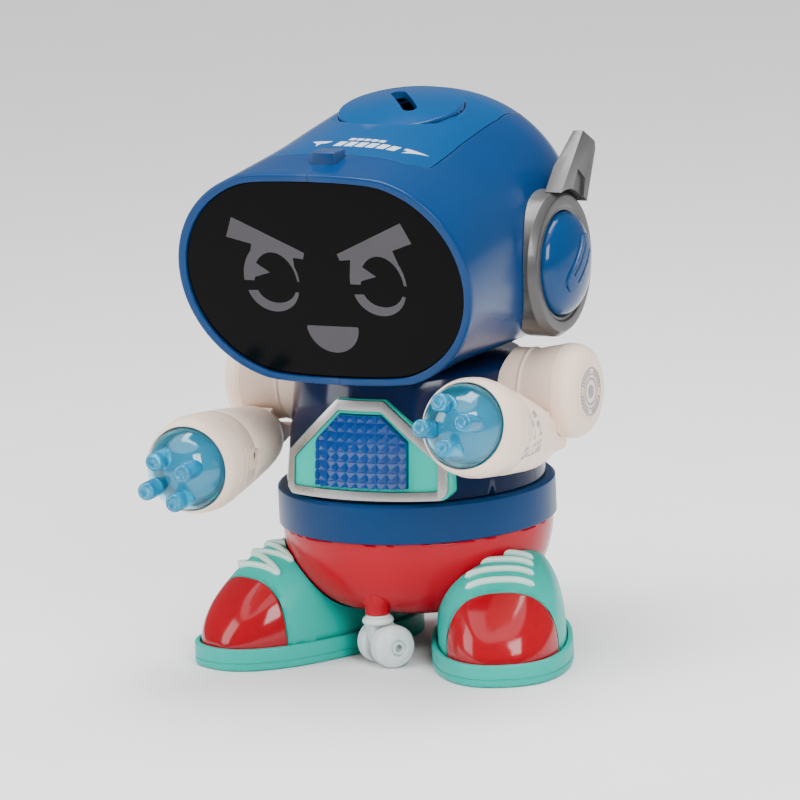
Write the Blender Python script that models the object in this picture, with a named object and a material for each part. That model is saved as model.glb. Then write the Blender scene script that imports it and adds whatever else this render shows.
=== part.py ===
"""Toy robot money box: a battery toy with a round head, swinging arms and trainers.

Lengths are millimetres in a design frame whose upright axis runs through the waist;
MM turns them into metres and BODY_Y sets that axis behind the origin.
Front is -Y, up is +Z, the robot's own left is +X, and it stands on z = 0.
"""
import bpy
import bmesh
from math import sin, cos, tan, pi, radians, copysign

MM = 0.001
GAP = 0.3                       # clearance between neighbouring pieces
BODY_Y = 11.9                   # the waist axis stands this far behind the origin
WALL = 2.4

# body
BELT_BOTTOM, BELT_TOP, BELT_R = 52.6, 68.6, 56.0
TORSO_R_LOW, TORSO_R_TOP, TORSO_TOP = 52.3, 46.2, 119.0
SPLIT_Y = 1.0

# head
FACE_Y, FACE_Z, FACE_TILT = -76.5, 163.2, 13.5
RIM_W, RIM_H = 63.3, 45.3
SCREEN_W, SCREEN_H = 59.6, 42.0
DOME_Y, DOME_R, HEAD_FLOOR = 21.0, 67.0, 120.0
EAR_X, EAR_Y, EAR_Z, EAR_R, EAR_CAP_R = 59.4, 6.0, 157.0, 29.4, 20.8

# coin disc and lid
DISC_Y, DISC_Z, DISC_R, DISC_LEAN = 2.0, 219.0, 25.4, 9.3
SLOT_X, SLOT_Y, SLOT_TURN = 0.8, 3.0, 37.0
LATCH = ((-5.3, -72.3, 199.0), (5.3, -61.9, 213.6))

# arms, drawn level and then raised about the shoulder axis
SHOULDER_Y, SHOULDER_Z = SPLIT_Y, 106.5
DRUM_R, DRUM_IN, DRUM_OUT = 19.0, 54.3, 78.0
ARM_X, ARM_Z, ARM_REAR = 61.5, 86.0, -12.0
RAISE = {"left": 16.0, "right": 0.0}
PEG_TURN = {"left": 10.0, "right": 26.0}

# legs
SOLE_X, SOLE_Y, SPLAY = 42.7, -17.0, 24.8
SOLE_L, SOLE_W, SOLE_H = 53.0, 28.4, 9.1
CAP_BACK = 30.0
CASTER_Y, CASTER_TURN, AXLE_BACK, AXLE_Z = -42.0, -38.0, 3.0, 8.6
AXLE_MIDDLE = (-AXLE_BACK * sin(radians(CASTER_TURN)),
               CASTER_Y + AXLE_BACK * cos(radians(CASTER_TURN)), AXLE_Z)

# waist drive: a pinion in the torso rolls round a gear fixed to the hips
GEAR_TEETH, PINION_TEETH = 32, 10
GEAR_LOW, GEAR_HIGH = 46.6, 50.4
PINION_Y = -(GEAR_TEETH + PINION_TEETH) / 2 - 0.15

PIVOTS = {
    "hips": (0, 0, 0),
    "torso": (0, 0, BELT_BOTTOM),
    "arm_left": (ARM_X, SHOULDER_Y, SHOULDER_Z),
    "arm_right": (-ARM_X, SHOULDER_Y, SHOULDER_Z),
    "lid": (0, 46.4, 215.6),
    "latch": (0, -66.8, 206.0),
    "caster": (0, CASTER_Y, 20.0),
    "wheel_left": AXLE_MIDDLE,
    "wheel_right": AXLE_MIDDLE,
    "pinion": (0, PINION_Y, GEAR_LOW),
    "switch": (-2.0, 10.0, 16.0),
}

LOOKS = {                       # colour, roughness, metallic
    "head_blue": ((0.0, 0.10, 0.33), 0.25, 0.0),
    "body_blue": ((0.0, 0.035, 0.13), 0.3, 0.0),
    "red": ((0.75, 0.012, 0.03), 0.22, 0.0),
    "turquoise": ((0.01, 0.58, 0.45), 0.35, 0.0),
    "cream": ((0.80, 0.68, 0.58), 0.4, 0.0),
    "grey": ((0.17, 0.16, 0.16), 0.4, 0.5),
    "clear_blue": ((0.03, 0.45, 0.75), 0.1, 0.0),
    "black": ((0.006, 0.006, 0.007), 0.12, 0.0),
    "milky": ((0.65, 0.70, 0.70), 0.35, 0.0),
    "board_green": ((0.02, 0.2, 0.07), 0.5, 0.0),
    "steel": ((0.5, 0.5, 0.5), 0.3, 1.0),
    "nylon": ((0.8, 0.8, 0.76), 0.5, 0.0),
    "silver": ((0.45, 0.46, 0.46), 0.3, 0.8),
    "lace": ((0.62, 0.74, 0.68), 0.6, 0.0),
    "guide": ((1.0, 0.4, 0.0), 0.5, 0.0),
}


def material(look):
    """The named plain Principled material, made once."""
    mat = bpy.data.materials.get(look)
    if mat is None:
        colour, rough, metal = LOOKS[look]
        mat = bpy.data.materials.new(look)
        mat.use_nodes = True
        bsdf = mat.node_tree.nodes["Principled BSDF"]
        bsdf.inputs["Base Color"].default_value = (*colour, 1.0)
        bsdf.inputs["Roughness"].default_value = rough
        bsdf.inputs["Metallic"].default_value = metal
        mat.diffuse_color = (*colour, 1.0)
    return mat


def node(name, solid, body, look):
    """One object from (points, faces) in design millimetres, its origin on its body's pivot."""
    points, faces = solid
    px, py, pz = PIVOTS[body]
    mesh = bpy.data.meshes.new(name)
    mesh.from_pydata([((x - px) * MM, (y - py) * MM, (z - pz) * MM) for x, y, z in points], [], faces)
    mesh.materials.append(material(look))
    bm = bmesh.new()
    bm.from_mesh(mesh)
    bmesh.ops.recalc_face_normals(bm, faces=bm.faces)
    bm.to_mesh(mesh)
    bm.free()
    mesh.shade_smooth()
    mesh.set_sharp_from_angle(angle=radians(35))
    obj = bpy.data.objects.new(name, mesh)
    obj.location = (px * MM, (py + BODY_Y) * MM, pz * MM)
    bpy.context.collection.objects.link(obj)
    return obj


def guide(name, solid):
    """A hidden shape that only cuts or joins others."""
    obj = node("guide_" + name, solid, "hips", "guide")
    obj.hide_render = True
    obj.display_type = "WIRE"
    return obj


def carve(obj, *guides, operation="DIFFERENCE"):
    for other in guides:
        mod = obj.modifiers.new(other.name, "BOOLEAN")
        mod.operation = operation
        mod.solver = "EXACT"
        mod.object = other
    return obj


# ---- plain solids, each a (points, faces) pair

def placed(axis, origin):
    """Return a function that puts (a, b, h) in space with h along the axis."""
    ox, oy, oz = origin
    return {"Z": lambda a, b, h: (ox + a, oy + b, oz + h),
            "X": lambda a, b, h: (ox + h, oy + a, oz + b),
            "-X": lambda a, b, h: (ox - h, oy + a, oz + b),
            "Y": lambda a, b, h: (ox + a, oy + h, oz + b),
            "-Y": lambda a, b, h: (ox + a, oy - h, oz + b)}[axis]


def turned(profile, axis="Z", origin=(0, 0, 0), sides=28):
    """A closed outline of (radius, height) turned about an axis."""
    place = placed(axis, origin)
    points, rings = [], []
    for radius, h in profile:
        steps = sides if radius > 0 else 1
        rings.append(range(len(points), len(points) + steps))
        points += [place(radius * cos(2 * pi * k / sides), radius * sin(2 * pi * k / sides), h)
                   for k in range(steps)]
    faces = []
    for one, two in zip(rings, rings[1:] + rings[:1]):
        if len(one) + len(two) > 2:
            for k in range(sides):
                j = (k + 1) % sides
                corners = (one[k % len(one)], one[j % len(one)], two[j % len(two)], two[k % len(two)])
                faces.append(list(dict.fromkeys(corners)))
    return points, faces


def rod(radius, low, high, axis="Z", origin=(0, 0, 0), sides=20):
    return turned([(0, low), (radius, low), (radius, high), (0, high)], axis, origin, sides)


def lofted(rings):
    """A skin through rings of equal length, capped at both ends."""
    count = len(rings[0])
    points = [p for ring in rings for p in ring]
    last = (len(rings) - 1) * count
    faces = [list(range(count)), [last + k for k in range(count)][::-1]]
    for base in range(0, last, count):
        faces += [[base + k, base + (k + 1) % count, base + count + (k + 1) % count, base + count + k]
                  for k in range(count)]
    return points, faces


def prism(outline, low, high, axis="Z", origin=(0, 0, 0)):
    place = placed(axis, origin)
    return lofted([[place(a, b, h) for a, b in outline] for h in (low, high)])


def box(low, high):
    (x0, y0, z0), (x1, y1, z1) = low, high
    return prism([(x0, y0), (x1, y0), (x1, y1), (x0, y1)], z0, z1)


def joined(*solids):
    points, faces = [], []
    for more_points, more_faces in solids:
        faces += [[i + len(points) for i in face] for face in more_faces]
        points += more_points
    return points, faces


def moved(solid, change):
    points, faces = solid
    return [change(p) for p in points], faces


def turn_about_z(degrees, x, y):
    c, s = cos(radians(degrees)), sin(radians(degrees))
    return lambda p: (x + (p[0] - x) * c - (p[1] - y) * s, y + (p[0] - x) * s + (p[1] - y) * c, p[2])


def raise_about_x(degrees, y, z):
    """Swing forward-pointing things upward about a line along X."""
    c, s = cos(radians(-degrees)), sin(radians(-degrees))
    return lambda p: (p[0], y + (p[1] - y) * c - (p[2] - z) * s, z + (p[1] - y) * s + (p[2] - z) * c)


# ---- head

def stadium(width, height, count=36):
    """Round-ended outline with soft joins, as (x, v) pairs."""
    outline = []
    for k in range(count):
        t = 2 * pi * k / count
        along = sin(pi / 2 * max(-1.0, min(1.0, cos(t) / 0.3)))
        outline.append(((width - height) * along + height * cos(t), height * sin(t)))
    return outline


def egg(width, top, bottom, count=36):
    """Closed outline, round above and squarer below."""
    outline = []
    for k in range(count):
        c, s = cos(2 * pi * k / count), sin(2 * pi * k / count)
        power, half = (2.15, top) if s > 0 else (3.2, bottom)
        outline.append((width * copysign(abs(c) ** (2 / power), c),
                        half * copysign(abs(s) ** (2 / power), s)))
    return outline


def screen_ring(back, shrink):
    """Outline of the screen on a plane parallel to the face."""
    tilt = radians(FACE_TILT)
    return [(x, FACE_Y + back - v * sin(tilt), FACE_Z + v * cos(tilt))
            for x, v in stadium(SCREEN_W - shrink, SCREEN_H - shrink)]


# how far behind the face, share of tilt, roundness, half width, middle, top and bottom heights
HEAD_SECTIONS = (
    (0, 1.0, 0.0, 63.3, 163.2, 207.2, 119.2),
    (12, 0.9, 0.12, 63.2, 162.8, 208.8, 119.4),
    (28, 0.7, 0.38, 62.6, 162.0, 211.6, 119.8),
    (46, 0.45, 0.68, 61.8, 161.0, 215.0, 120.0),
    (66, 0.2, 0.9, 61.2, 160.0, 219.2, 120.0),
    (84, 0.0, 1.0, 61.0, 159.2, 222.2, 120.0),
    (97.5, 0.0, 1.0, 61.0, 159.0, 223.0, 120.0),
)


def head_skin(inset=0.0, mouth=False):
    """The head's closed form; mouth carries it out through the screen opening."""
    slope = tan(radians(FACE_TILT))
    rings = []
    if mouth:
        rings += [screen_ring(back, -GAP) for back in (-8.0, 5.0)]
    for back, tilt, mix, width, middle, top, bottom in HEAD_SECTIONS[1 if mouth else 0:]:
        flat = stadium(width - inset, (top - bottom) / 2 - inset)
        full = egg(width - inset, top - middle - inset, middle - bottom - inset)
        ring = []
        for (x1, v1), (x2, v2) in zip(flat, full):
            v1 += (top + bottom) / 2 - middle
            x, v = (1 - mix) * x1 + mix * x2, (1 - mix) * v1 + mix * v2
            ring.append((x, FACE_Y + back - tilt * slope * v, middle + v))
        rings.append(ring)
    width, middle, top, bottom = HEAD_SECTIONS[-1][3:]
    for degrees in (20, 38, 54, 68, 80):
        c = cos(radians(degrees))
        outline = egg((width - inset) * c, (top - middle - inset) * c, (middle - bottom - inset) * c)
        rings.append([(x, DOME_Y + (DOME_R - inset) * sin(radians(degrees)), middle + v) for x,
                      v in outline])
    return lofted(rings)


def lid_outline(grow):
    """Plan of the lid: a straight front with clipped corners, and sides that draw in to the hinge."""
    half = [(30, -61.5 - grow), (37.5 + grow, -54), (36 + grow, -20), (35.5 + grow, 16),
            (33 + grow, 44.6 + 5 * grow)]
    return half + [(-x, y) for x, y in reversed(half)]


def disc_frame(p):
    """Lean the coin disc forward with the slope of the head."""
    return raise_about_x(-DISC_LEAN, DISC_Y, DISC_Z)(p)


def head():
    inner = guide("head_inside", head_skin(WALL, mouth=True))
    opening = guide("lid_opening", prism(lid_outline(0.8), 185, 240))
    neck_hole = guide("neck_hole", rod(24.6, 110, 128, sides=30))
    latch_hole = guide("latch_hole", box((-5.7, -72.7, 190), (5.7, -61.5, 225)))
    for side, sign in (("left", 1), ("right", -1)):
        shell = node("head_shell_" + side, head_skin(), "torso", "head_blue")
        near, far = sorted((sign * 0.15, sign * 90))
        half = guide("head_half_" + side, box((near, -120, 90), (far, 120, 260)))
        ear_hole = guide("ear_hole_" + side, rod(EAR_R - 4, 40, 90, "X" if sign > 0 else "-X",
                                                (0, EAR_Y, EAR_Z), 24))
        carve(shell, half, operation="INTERSECT")
        carve(shell, inner, opening, neck_hole, latch_hole, ear_hole)
    disc_hole = guide("disc_hole", moved(rod(DISC_R + GAP, -12, 14, "Z", (0, DISC_Y, DISC_Z), 36),
                                         disc_frame))
    lid = node("head_lid", head_skin(), "lid", "head_blue")
    carve(lid, guide("lid_inside", head_skin(WALL)))
    carve(lid, guide("lid_shape", prism(lid_outline(0.0), 185, 240)), operation="INTERSECT")
    carve(lid, disc_hole, latch_hole)
    node("lid_hinge_pin", rod(1.0, -28, 28, "X", PIVOTS["lid"], 12), "torso", "steel")
    node("lid_latch", box(*LATCH), "latch", "head_blue")


def coin_disc():
    """Domed insert in the lid with a round-ended slot turned across it."""
    rise, edge = 3.0, -2.4
    dome = [(DISC_R * s, rise * (1 - s * s)) for s in (0, 0.45, 0.75, 1.0)]
    disc = node("coin_slot_disc", moved(turned(dome + [(DISC_R, edge), (0, edge + rise)], "Z",
                (0, DISC_Y, DISC_Z), 36), disc_frame), "lid", "head_blue")
    half_length, half_width = 10.6, 3.0
    ends = [(half_width * cos(pi * k / 6), half_length + half_width * sin(pi * k / 6)) for k in range(7)]
    outline = ends + [(-x, -y) for x, y in ends]
    slot = moved(prism(outline, -20, 20, "Z", (SLOT_X, SLOT_Y, DISC_Z)),
                 turn_about_z(SLOT_TURN, SLOT_X, SLOT_Y))
    carve(disc, guide("coin_slot", slot))


def face():
    node("face_screen", lofted([screen_ring(1.2, 0.0), screen_ring(3.4, 0.0)]), "torso", "black")


def ear(side, sign):
    """Grey ring and the blue domed cap inside it."""
    axis, centre = ("X" if sign > 0 else "-X"), (0, EAR_Y, EAR_Z)
    outside = guide("head_outside_" + side, head_skin(-GAP))
    ring_profile = [(EAR_CAP_R + GAP, EAR_X - 6), (EAR_R, EAR_X - 6), (EAR_R, 63.5), (EAR_R - 1.6, 66.0),
                    (EAR_R - 3.4, 66.6), (EAR_CAP_R + GAP, 66.6)]
    ring = node("ear_ring_" + side, turned(ring_profile, axis, centre, 36), "torso", "grey")
    carve(ring, outside)
    r, low = EAR_CAP_R, EAR_X + 5.0
    dome = [(r, low), (r, low + 1.2)] + [(r * cos(radians(a)), low + 1.2 + 9.0 * sin(radians(a)))
                                         for a in (22, 48, 70)] + [(0, low + 10.2), (0, low + 8.0)]
    node("ear_cap_" + side, turned(dome + [(r - 2.0, low)], axis, centre, 28), "torso", "head_blue")


def antenna():
    """The one fin, standing behind the left ear, thinner at its top, with a shallow window."""
    outline = [(-0.5, 184.3), (25.3, 207.5), (36.6, 201.1), (36.7, 197.8), (23.8, 173.7), (12, 176)]
    fin = node("antenna", prism(outline, 61.3, 68.5, "X"), "torso", "grey")
    ring_room = guide("ring_room", rod(EAR_R + GAP, 40, 90, "X", (0, EAR_Y, EAR_Z), 36))
    thinning = guide("antenna_thinning", prism([(58, 195), (61.35, 195), (64.6, 208.5), (58, 208.5)], -50,
                                               10, "-Y"))
    window = guide("antenna_window", prism([(18.9, 193.3), (25.3, 188.1), (22.1, 176.9), (10.9, 183.4)],
                                           67.2, 75, "X"))
    carve(fin, ring_room, bpy.data.objects["guide_head_outside_left"], thinning, window)


# ---- torso

def torso_r(z):
    return TORSO_R_LOW + (TORSO_R_TOP - TORSO_R_LOW) * (z - BELT_TOP) / (TORSO_TOP - BELT_TOP)


def torso():
    low = BELT_BOTTOM + 4.4
    outer = [(49.4, low), (49.4, BELT_TOP + 0.4), (TORSO_R_LOW, BELT_TOP + 0.4),
             (TORSO_R_TOP, TORSO_TOP - 3),
             (TORSO_R_TOP - 3, TORSO_TOP), (0, TORSO_TOP)]
    inner = [(0, TORSO_TOP - WALL), (TORSO_R_TOP - 3.6, TORSO_TOP - WALL),
             (TORSO_R_LOW - 5.2, BELT_TOP + 0.4), (47.0, low)]
    shell = turned(outer + inner, sides=44)
    holes = [guide("shaft_hole_" + side, rod(4.6, 30, 60, axis, (0, SHOULDER_Y, SHOULDER_Z), 20))
             for side, axis in (("left", "X"), ("right", "-X"))]
    holes.append(guide("neck_bore", rod(26.0, TORSO_TOP - 6, TORSO_TOP + 3)))
    door_hole = guide("door_hole", box((-24, 20, 71), (24, 80, 113)))
    for name, y0, y1 in (("torso_front", -80, SPLIT_Y - 0.15), ("torso_back", SPLIT_Y + 0.15, 80)):
        part = node(name, shell, "torso", "body_blue")
        carve(part, guide(name + "_half", box((-80, y0, 40), (80, y1, 130))), operation="INTERSECT")
        carve(part, *holes)
        if name == "torso_back":
            carve(part, door_hole)
    door = node("battery_door", shell, "torso", "body_blue")
    carve(door, guide("door_shape", box((-23.7, 20, 71.3), (23.7, 80, 112.7))), operation="INTERSECT")
    carve(door, guide("door_screw_hole", rod(1.9, 30, 70, "Y", (0, 0, 109), 16)))
    node("battery_door_screw", screw((0, torso_r(109) - 1.6, 109)), "torso", "steel")
    ring = [(49.7, BELT_BOTTOM + 4.4), (49.7, BELT_TOP), (BELT_R - 1.8, BELT_TOP),
            (BELT_R - 0.5, BELT_TOP - 0.5),
            (BELT_R, BELT_TOP - 1.8), (BELT_R, BELT_BOTTOM), (52.4, BELT_BOTTOM), (52.4, BELT_BOTTOM + 4.4)]
    node("waist_ring", turned(ring, sides=52), "torso", "body_blue")
    floor = node("torso_floor", rod(52.0, BELT_BOTTOM + 1.6, BELT_BOTTOM + 4.1, sides=40), "torso",
                 "body_blue")
    carve(floor, guide("floor_bore", rod(6.4, 50, 60)), guide("motor_bore",
                                                              rod(2.4, 50, 60, "Z", (0, PINION_Y, 0), 16)))
    neck = [(19.0, TORSO_TOP - 4.4), (25.6, TORSO_TOP - 4.4), (25.6, HEAD_FLOOR - 0.3),
            (24.2, HEAD_FLOOR - 0.3),
            (24.2, 124.2), (28.0, 124.2), (28.0, 126.2), (19.0, 126.2)]
    node("neck_collar", turned(neck, sides=30), "torso", "body_blue")


def screw(head_at):
    """A pan-head screw going in along -Y."""
    x, y, z = head_at
    return turned([(0, 1.4), (1.8, 1.2), (3.0, 0.1), (1.4, 0.1), (1.4, -9), (0, -9)], "Y",
                  (x, y + 1.8, z), 12)


CHEST_OUTLINE = [(11, 110), (35, 87.5), (35.8, 73), (33, 69.8)]
CHEST_INNER = [(9.6, 106), (31.2, 86.2), (31.2, 73.6)]
CHEST_LENS = [(9.2, 103.2), (20, 92.6), (20, 74.6)]


def mirrored(half):
    return half + [(-x, z) for x, z in reversed(half)]


def chest():
    """Frame, base and prismatic lens on the front of the torso, leaning with its taper."""
    lean = 0.12

    def bowed(radius):
        return turned([(0, 60), (radius + 6 * lean, 60), (radius - 50 * lean, 116), (0, 116)], "Z",
                      (0, 27, 0), 80)

    skin = guide("torso_skin", turned([(0, 50), (TORSO_R_LOW + GAP, BELT_TOP - 0.2),
                                       (TORSO_R_LOW + GAP, BELT_TOP + 0.4),
                                       (TORSO_R_TOP + GAP, TORSO_TOP - 3), (TORSO_R_TOP + GAP, 130),
                                       (0, 130)], sides=44))
    levels = {"base": guide("chest_base_front", bowed(80.2)), "top": guide("chest_top_front", bowed(82.0)),
              "under": guide("chest_under", bowed(80.5)), "floor": guide("chest_lens_back", bowed(77.5))}
    base = node("chest_base", prism(mirrored(CHEST_OUTLINE), 20, 70, "-Y"), "torso", "turquoise")
    carve(base, levels["base"], operation="INTERSECT")
    carve(base, skin, guide("lens_pocket", prism(mirrored([(x + GAP, z + GAP if z > 90 else z - GAP)
                                                           for x, z in CHEST_LENS]), 20, 70, "-Y")))
    frame = node("chest_frame", prism(mirrored(CHEST_OUTLINE), 20, 70, "-Y"), "torso", "silver")
    carve(frame, levels["top"], operation="INTERSECT")
    carve(frame, levels["under"], guide("frame_window", prism(mirrored(CHEST_INNER), 20, 70, "-Y")))
    lens = node("chest_lens", prism(mirrored(CHEST_LENS), 20, 70, "-Y"), "torso", "clear_blue")
    carve(lens, levels["top"], operation="INTERSECT")
    carve(lens, levels["floor"], skin)


def insides():
    """Battery tray and cells, board, speaker and the waist motor."""
    tray = node("battery_tray", box((-28.2, 14.6, 67.6), (28.2, 32.2, 114)), "torso", "nylon")
    carve(tray, guide("tray_room", box((-26.6, 16.2, 69.2), (26.6, 40, 112.4))))
    for i in range(3):
        z = 76.4 + i * 14.35
        cell = [(0, -25.2), (6.9, -25.2), (7.1, -24.6), (7.1, 23.6), (6.6, 24.0), (2.7, 24.0),
                (2.7, 25.4), (0, 25.4)]
        node("aa_cell_%d" % (i + 1), turned(cell, "X", (0, 24.0, z), 24), "torso", "steel")
    node("circuit_board", box((-22, -13.6, 80), (22, -12.0, 112)), "torso", "board_green")
    speaker = [(0, 0), (6, 0), (6, 3.4), (13, 6.2), (13, 7.6), (0, 7.6)]
    node("speaker", turned(speaker, "-Y", (0, -30, 96), 32), "torso", "black")
    motor = [(0, 57.2), (8.5, 57.2), (8.5, 76), (3, 76), (3, 77.5), (0, 77.5)]
    body = node("waist_motor", turned(motor, "Z", (0, PINION_Y, 0), 28), "torso", "steel")
    carve(body, guide("motor_shaft_room", rod(1.6, 50, 66, "Z", (0, PINION_Y, 0), 16)))


# ---- arms

def arm(side, sign):
    body = "arm_" + side
    axis = "X" if sign > 0 else "-X"
    swing = raise_about_x(RAISE[side], SHOULDER_Y, SHOULDER_Z)
    centre, line = (0, SHOULDER_Y, SHOULDER_Z), (sign * ARM_X, ARM_REAR, ARM_Z)

    drum = [(0, 37), (7.5, 37), (7.5, 39.5), (4.0, 39.5), (4.0, DRUM_IN), (DRUM_R - 1.2, DRUM_IN),
            (DRUM_R, DRUM_IN + 1.6), (DRUM_R, 68.2), (0, 68.2)]
    cap = [(0, 68.5), (DRUM_R, 68.5), (DRUM_R, 70.6), (18.0, 74.4), (15.0, 77.2), (10.5, DRUM_OUT),
           (0, DRUM_OUT)]
    node("shoulder_drum_" + side, moved(turned(drum, axis, centre, 32), swing), body, "cream")
    node("shoulder_cap_" + side, moved(turned(cap, axis, centre, 32), swing), body, "cream")
    collar = node("shoulder_collar_" + side, turned([(4.6, 38), (16.6, 38), (16.6, DRUM_IN - GAP),
                                                     (4.6, DRUM_IN - GAP)],
                                                    axis, centre, 28), "torso", "cream")
    carve(collar, bpy.data.objects["guide_torso_skin"])

    shell = [(0, 0), (7.5, 1.2), (12.2, 7), (14.6, 18), (17.2, 36), (19.5, 55), (17.6, 55), (14.9, 36),
             (12.3, 18),
             (9.5, 8.5), (0, 6)]
    rim = [(17.6, 55.3), (19.5, 55.3), (19.8, 60), (19.2, 66), (17.8, 70.2), (17.0, 70.2), (17.0, 62),
           (15.6, 62),
           (15.6, 55.3)]
    forearm = node("forearm_shell_" + side, moved(turned(shell, "-Y", line), swing), body, "cream")
    web = prism([(-27, 92), (-16.5, 97), (-5, 100), (4, 90), (3, 84), (-12, 80), (-22, 84)], ARM_X - 6.5,
                ARM_X + 6.5, axis)
    carve(forearm, guide("arm_web_" + side, moved(web, swing)), operation="UNION")
    carve(forearm, guide("drum_room_" + side, rod(DRUM_R + GAP, 50, 80, axis, centre, 32)),
          guide("forearm_room_" + side, moved(turned([(0, 7), (8.9, 9.4), (11.9, 18), (14.5, 36),
                                                      (17.2, 56), (0, 56)],
                                                       "-Y", line), swing)),
          guide("forearm_screw_" + side, moved(rod(3.7, ARM_X - 24, ARM_X - 15.5, axis, (0, -56, ARM_Z),
                                                   12), swing)))
    node("forearm_rim_" + side, moved(turned(rim, "-Y", line), swing), body, "cream")

    skin = [(16.6, 62.4), (16.6, 68.5)] + [(16.6 * cos(radians(a)), 68.5 + 15.5 * sin(radians(a)))
                                           for a in (22, 45, 68)] + [(0, 84.0), (0, 82.4)]
    skin += [(15.1 * cos(radians(a)), 68.5 + 13.9 * sin(radians(a))) for a in (60, 30)] + [(15.1, 62.4)]
    lens = node("arm_lens_" + side, moved(turned(skin, "-Y", line, 24), swing), body, "clear_blue")
    pegs = [rod(3.7, 78, 91.5, "-Y", (line[0] + 9 * cos(a), line[1], line[2] - 1.3 + 9 * sin(a)), 12)
            for a in (radians(PEG_TURN[side] + 90 * k) for k in range(4))]
    carve(lens, guide("pegs_" + side, moved(joined(*pegs), swing)), operation="UNION")


# ---- hips, waist drive and legs

BOWL = [(54.6, 52.3), (53.8, 44.5), (50.6, 34.5), (44.0, 26.0), (34, 20), (20, 16.6), (0, 16.2)]


def gear_outline(teeth, first):
    """Straight-sided teeth, one of them centred at the angle first."""
    radius = teeth / 2
    outline = []
    for k in range(teeth):
        middle = first + 2 * pi * k / teeth
        for r, share in ((radius - 1.2, -0.31), (radius + 0.85, -0.1), (radius + 0.85, 0.1),
                         (radius - 1.2, 0.31)):
            a = middle + share * 2 * pi / teeth
            outline.append((r * cos(a), r * sin(a)))
    return outline


def hips():
    inner = [(0, 18.6), (19.5, 19.0), (33, 22.4), (42.2, 28.0), (48.4, 36), (51.4, 45), (52.0, 52.3)]
    bowl = node("hip_bowl", turned(BOWL + inner, sides=44), "hips", "red")
    at = (0, CASTER_Y, 0)
    post = turned([(0, 21.4), (5.0, 21.4), (5.0, 25.6), (5.8, 25.6), (5.8, 43), (0, 43)], "Z", at, 20)
    carve(bowl, guide("caster_post", post), operation="UNION")
    carve(bowl, guide("caster_bore", rod(3.3, 10, 50, "Z", at, 16)),
          guide("switch_slot", box((-5, 7.6, 10), (5, 12.4, 22))))
    node("hip_plate", turned([(0, 43.6), (50.6, 43.6), (50.6, 46.2), (5.6, 46.2), (5.6, 62.0), (0, 62.0)],
                             sides=36),
         "hips", "red")
    gear = node("waist_gear", prism(gear_outline(GEAR_TEETH, pi / 2 + pi / GEAR_TEETH), GEAR_LOW, GEAR_HIGH),
                "hips", "nylon")
    carve(gear, guide("gear_bore", rod(5.9, 40, 60)))
    pinion = prism(gear_outline(PINION_TEETH, pi / 2), GEAR_LOW, GEAR_HIGH, "Z", (0, PINION_Y, 0))
    pinion_node = node("motor_pinion", pinion, "pinion", "nylon")
    carve(pinion_node, guide("pinion_shaft", rod(1.3, GEAR_HIGH - 1, 64, "Z", (0, PINION_Y, 0), 12)),
          operation="UNION")
    node("power_switch", slider(), "switch", "black")


def slider():
    """Slider with a flange inside the bowl and a stub below it."""
    low = [(x - 2, y, 14.6) for x, y in ((-2.2, 8.2), (2.2, 8.2), (2.2, 11.8), (-2.2, 11.8))]
    neck = [(x, y, 19.2) for x, y, _ in low]
    rim = [(2 * x + 2, 10 + (y - 10) * 1.9, 19.5) for x, y, _ in low]
    top = [(x, y, 21.5) for x, y, _ in rim]
    return lofted([low, neck, rim, top])


def caster():
    """Swivelling fork with two wheels set across it."""
    turn = turn_about_z(CASTER_TURN, 0, CASTER_Y)
    stem = turned([(0, 17.6), (6.0, 17.6), (6.4, 18.6), (5.9, 19.8), (4.9, 20.2), (4.9, 21.1), (3.0, 21.1),
                   (3.0, 42.4), (0, 42.4)], "Z", (0, CASTER_Y, 0), 20)
    fork = node("caster_fork", moved(stem, turn), "caster", "milky")
    side = [(-5.0, 18.2), (5.0, 18.2), (8.6, 12), (8.6, 6), (5.5, 3.6), (1.0, 4.4), (-3.4, 10)]
    web = prism([(CASTER_Y + y, z) for y, z in side], -2.4, 2.4, "X")
    carve(fork, guide("caster_web", moved(web, turn)), operation="UNION")
    at = (0, CASTER_Y + AXLE_BACK, AXLE_Z)
    carve(fork, guide("caster_axle_hole", moved(rod(1.6, -10, 10, "X", at, 16), turn)))
    node("caster_axle", moved(rod(1.25, -10.2, 10.2, "X", at, 14), turn), "caster", "steel")
    wheel = [(1.6, 2.8), (8.6, 2.8), (8.6, 8.4), (7.2, 10.4), (4.4, 12.0), (1.6, 12.2)]
    for name, axis in (("left", "X"), ("right", "-X")):
        node("caster_wheel_" + name, moved(turned(wheel, axis, at, 24), turn), "wheel_" + name, "milky")


def sole_outline(grow, count=40):
    power = 2.4
    outline = []
    for k in range(count):
        c, s = cos(2 * pi * k / count), sin(2 * pi * k / count)
        outline.append(((SOLE_W + grow) * copysign(abs(c) ** (2 / power), c),
                        -(SOLE_L + grow) * copysign(abs(s) ** (2 / power), s)))
    return outline


# distance forward of the shoe's middle, and height there, from the heel to the toe
SHOE_TOP = ((-49.8, 24), (-48.6, 33), (-44, 38), (-34, 41), (-18, 44), (0, 45), (12, 43), (21, 39),
            (30, 33.5),
            (38, 27.5), (44, 21), (48.2, 14.5), (49.7, 10))


def shoe_section(along, height, grow=0.0, count=20):
    """Arched cross-section of the shoe at one place along it."""
    half = (SOLE_W - 2.6) * max(0.0, 1 - abs(along / 50.2) ** 2.4) ** (1 / 2.4) + grow
    low, ring = 6.9, []
    for k in range(count + 1):
        c, s = cos(pi * k / count), sin(pi * k / count)
        ring.append((half * copysign(abs(c) ** 0.75, c), -along,
                     low + (height + grow - low) * abs(s) ** 0.75))
    return ring


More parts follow.
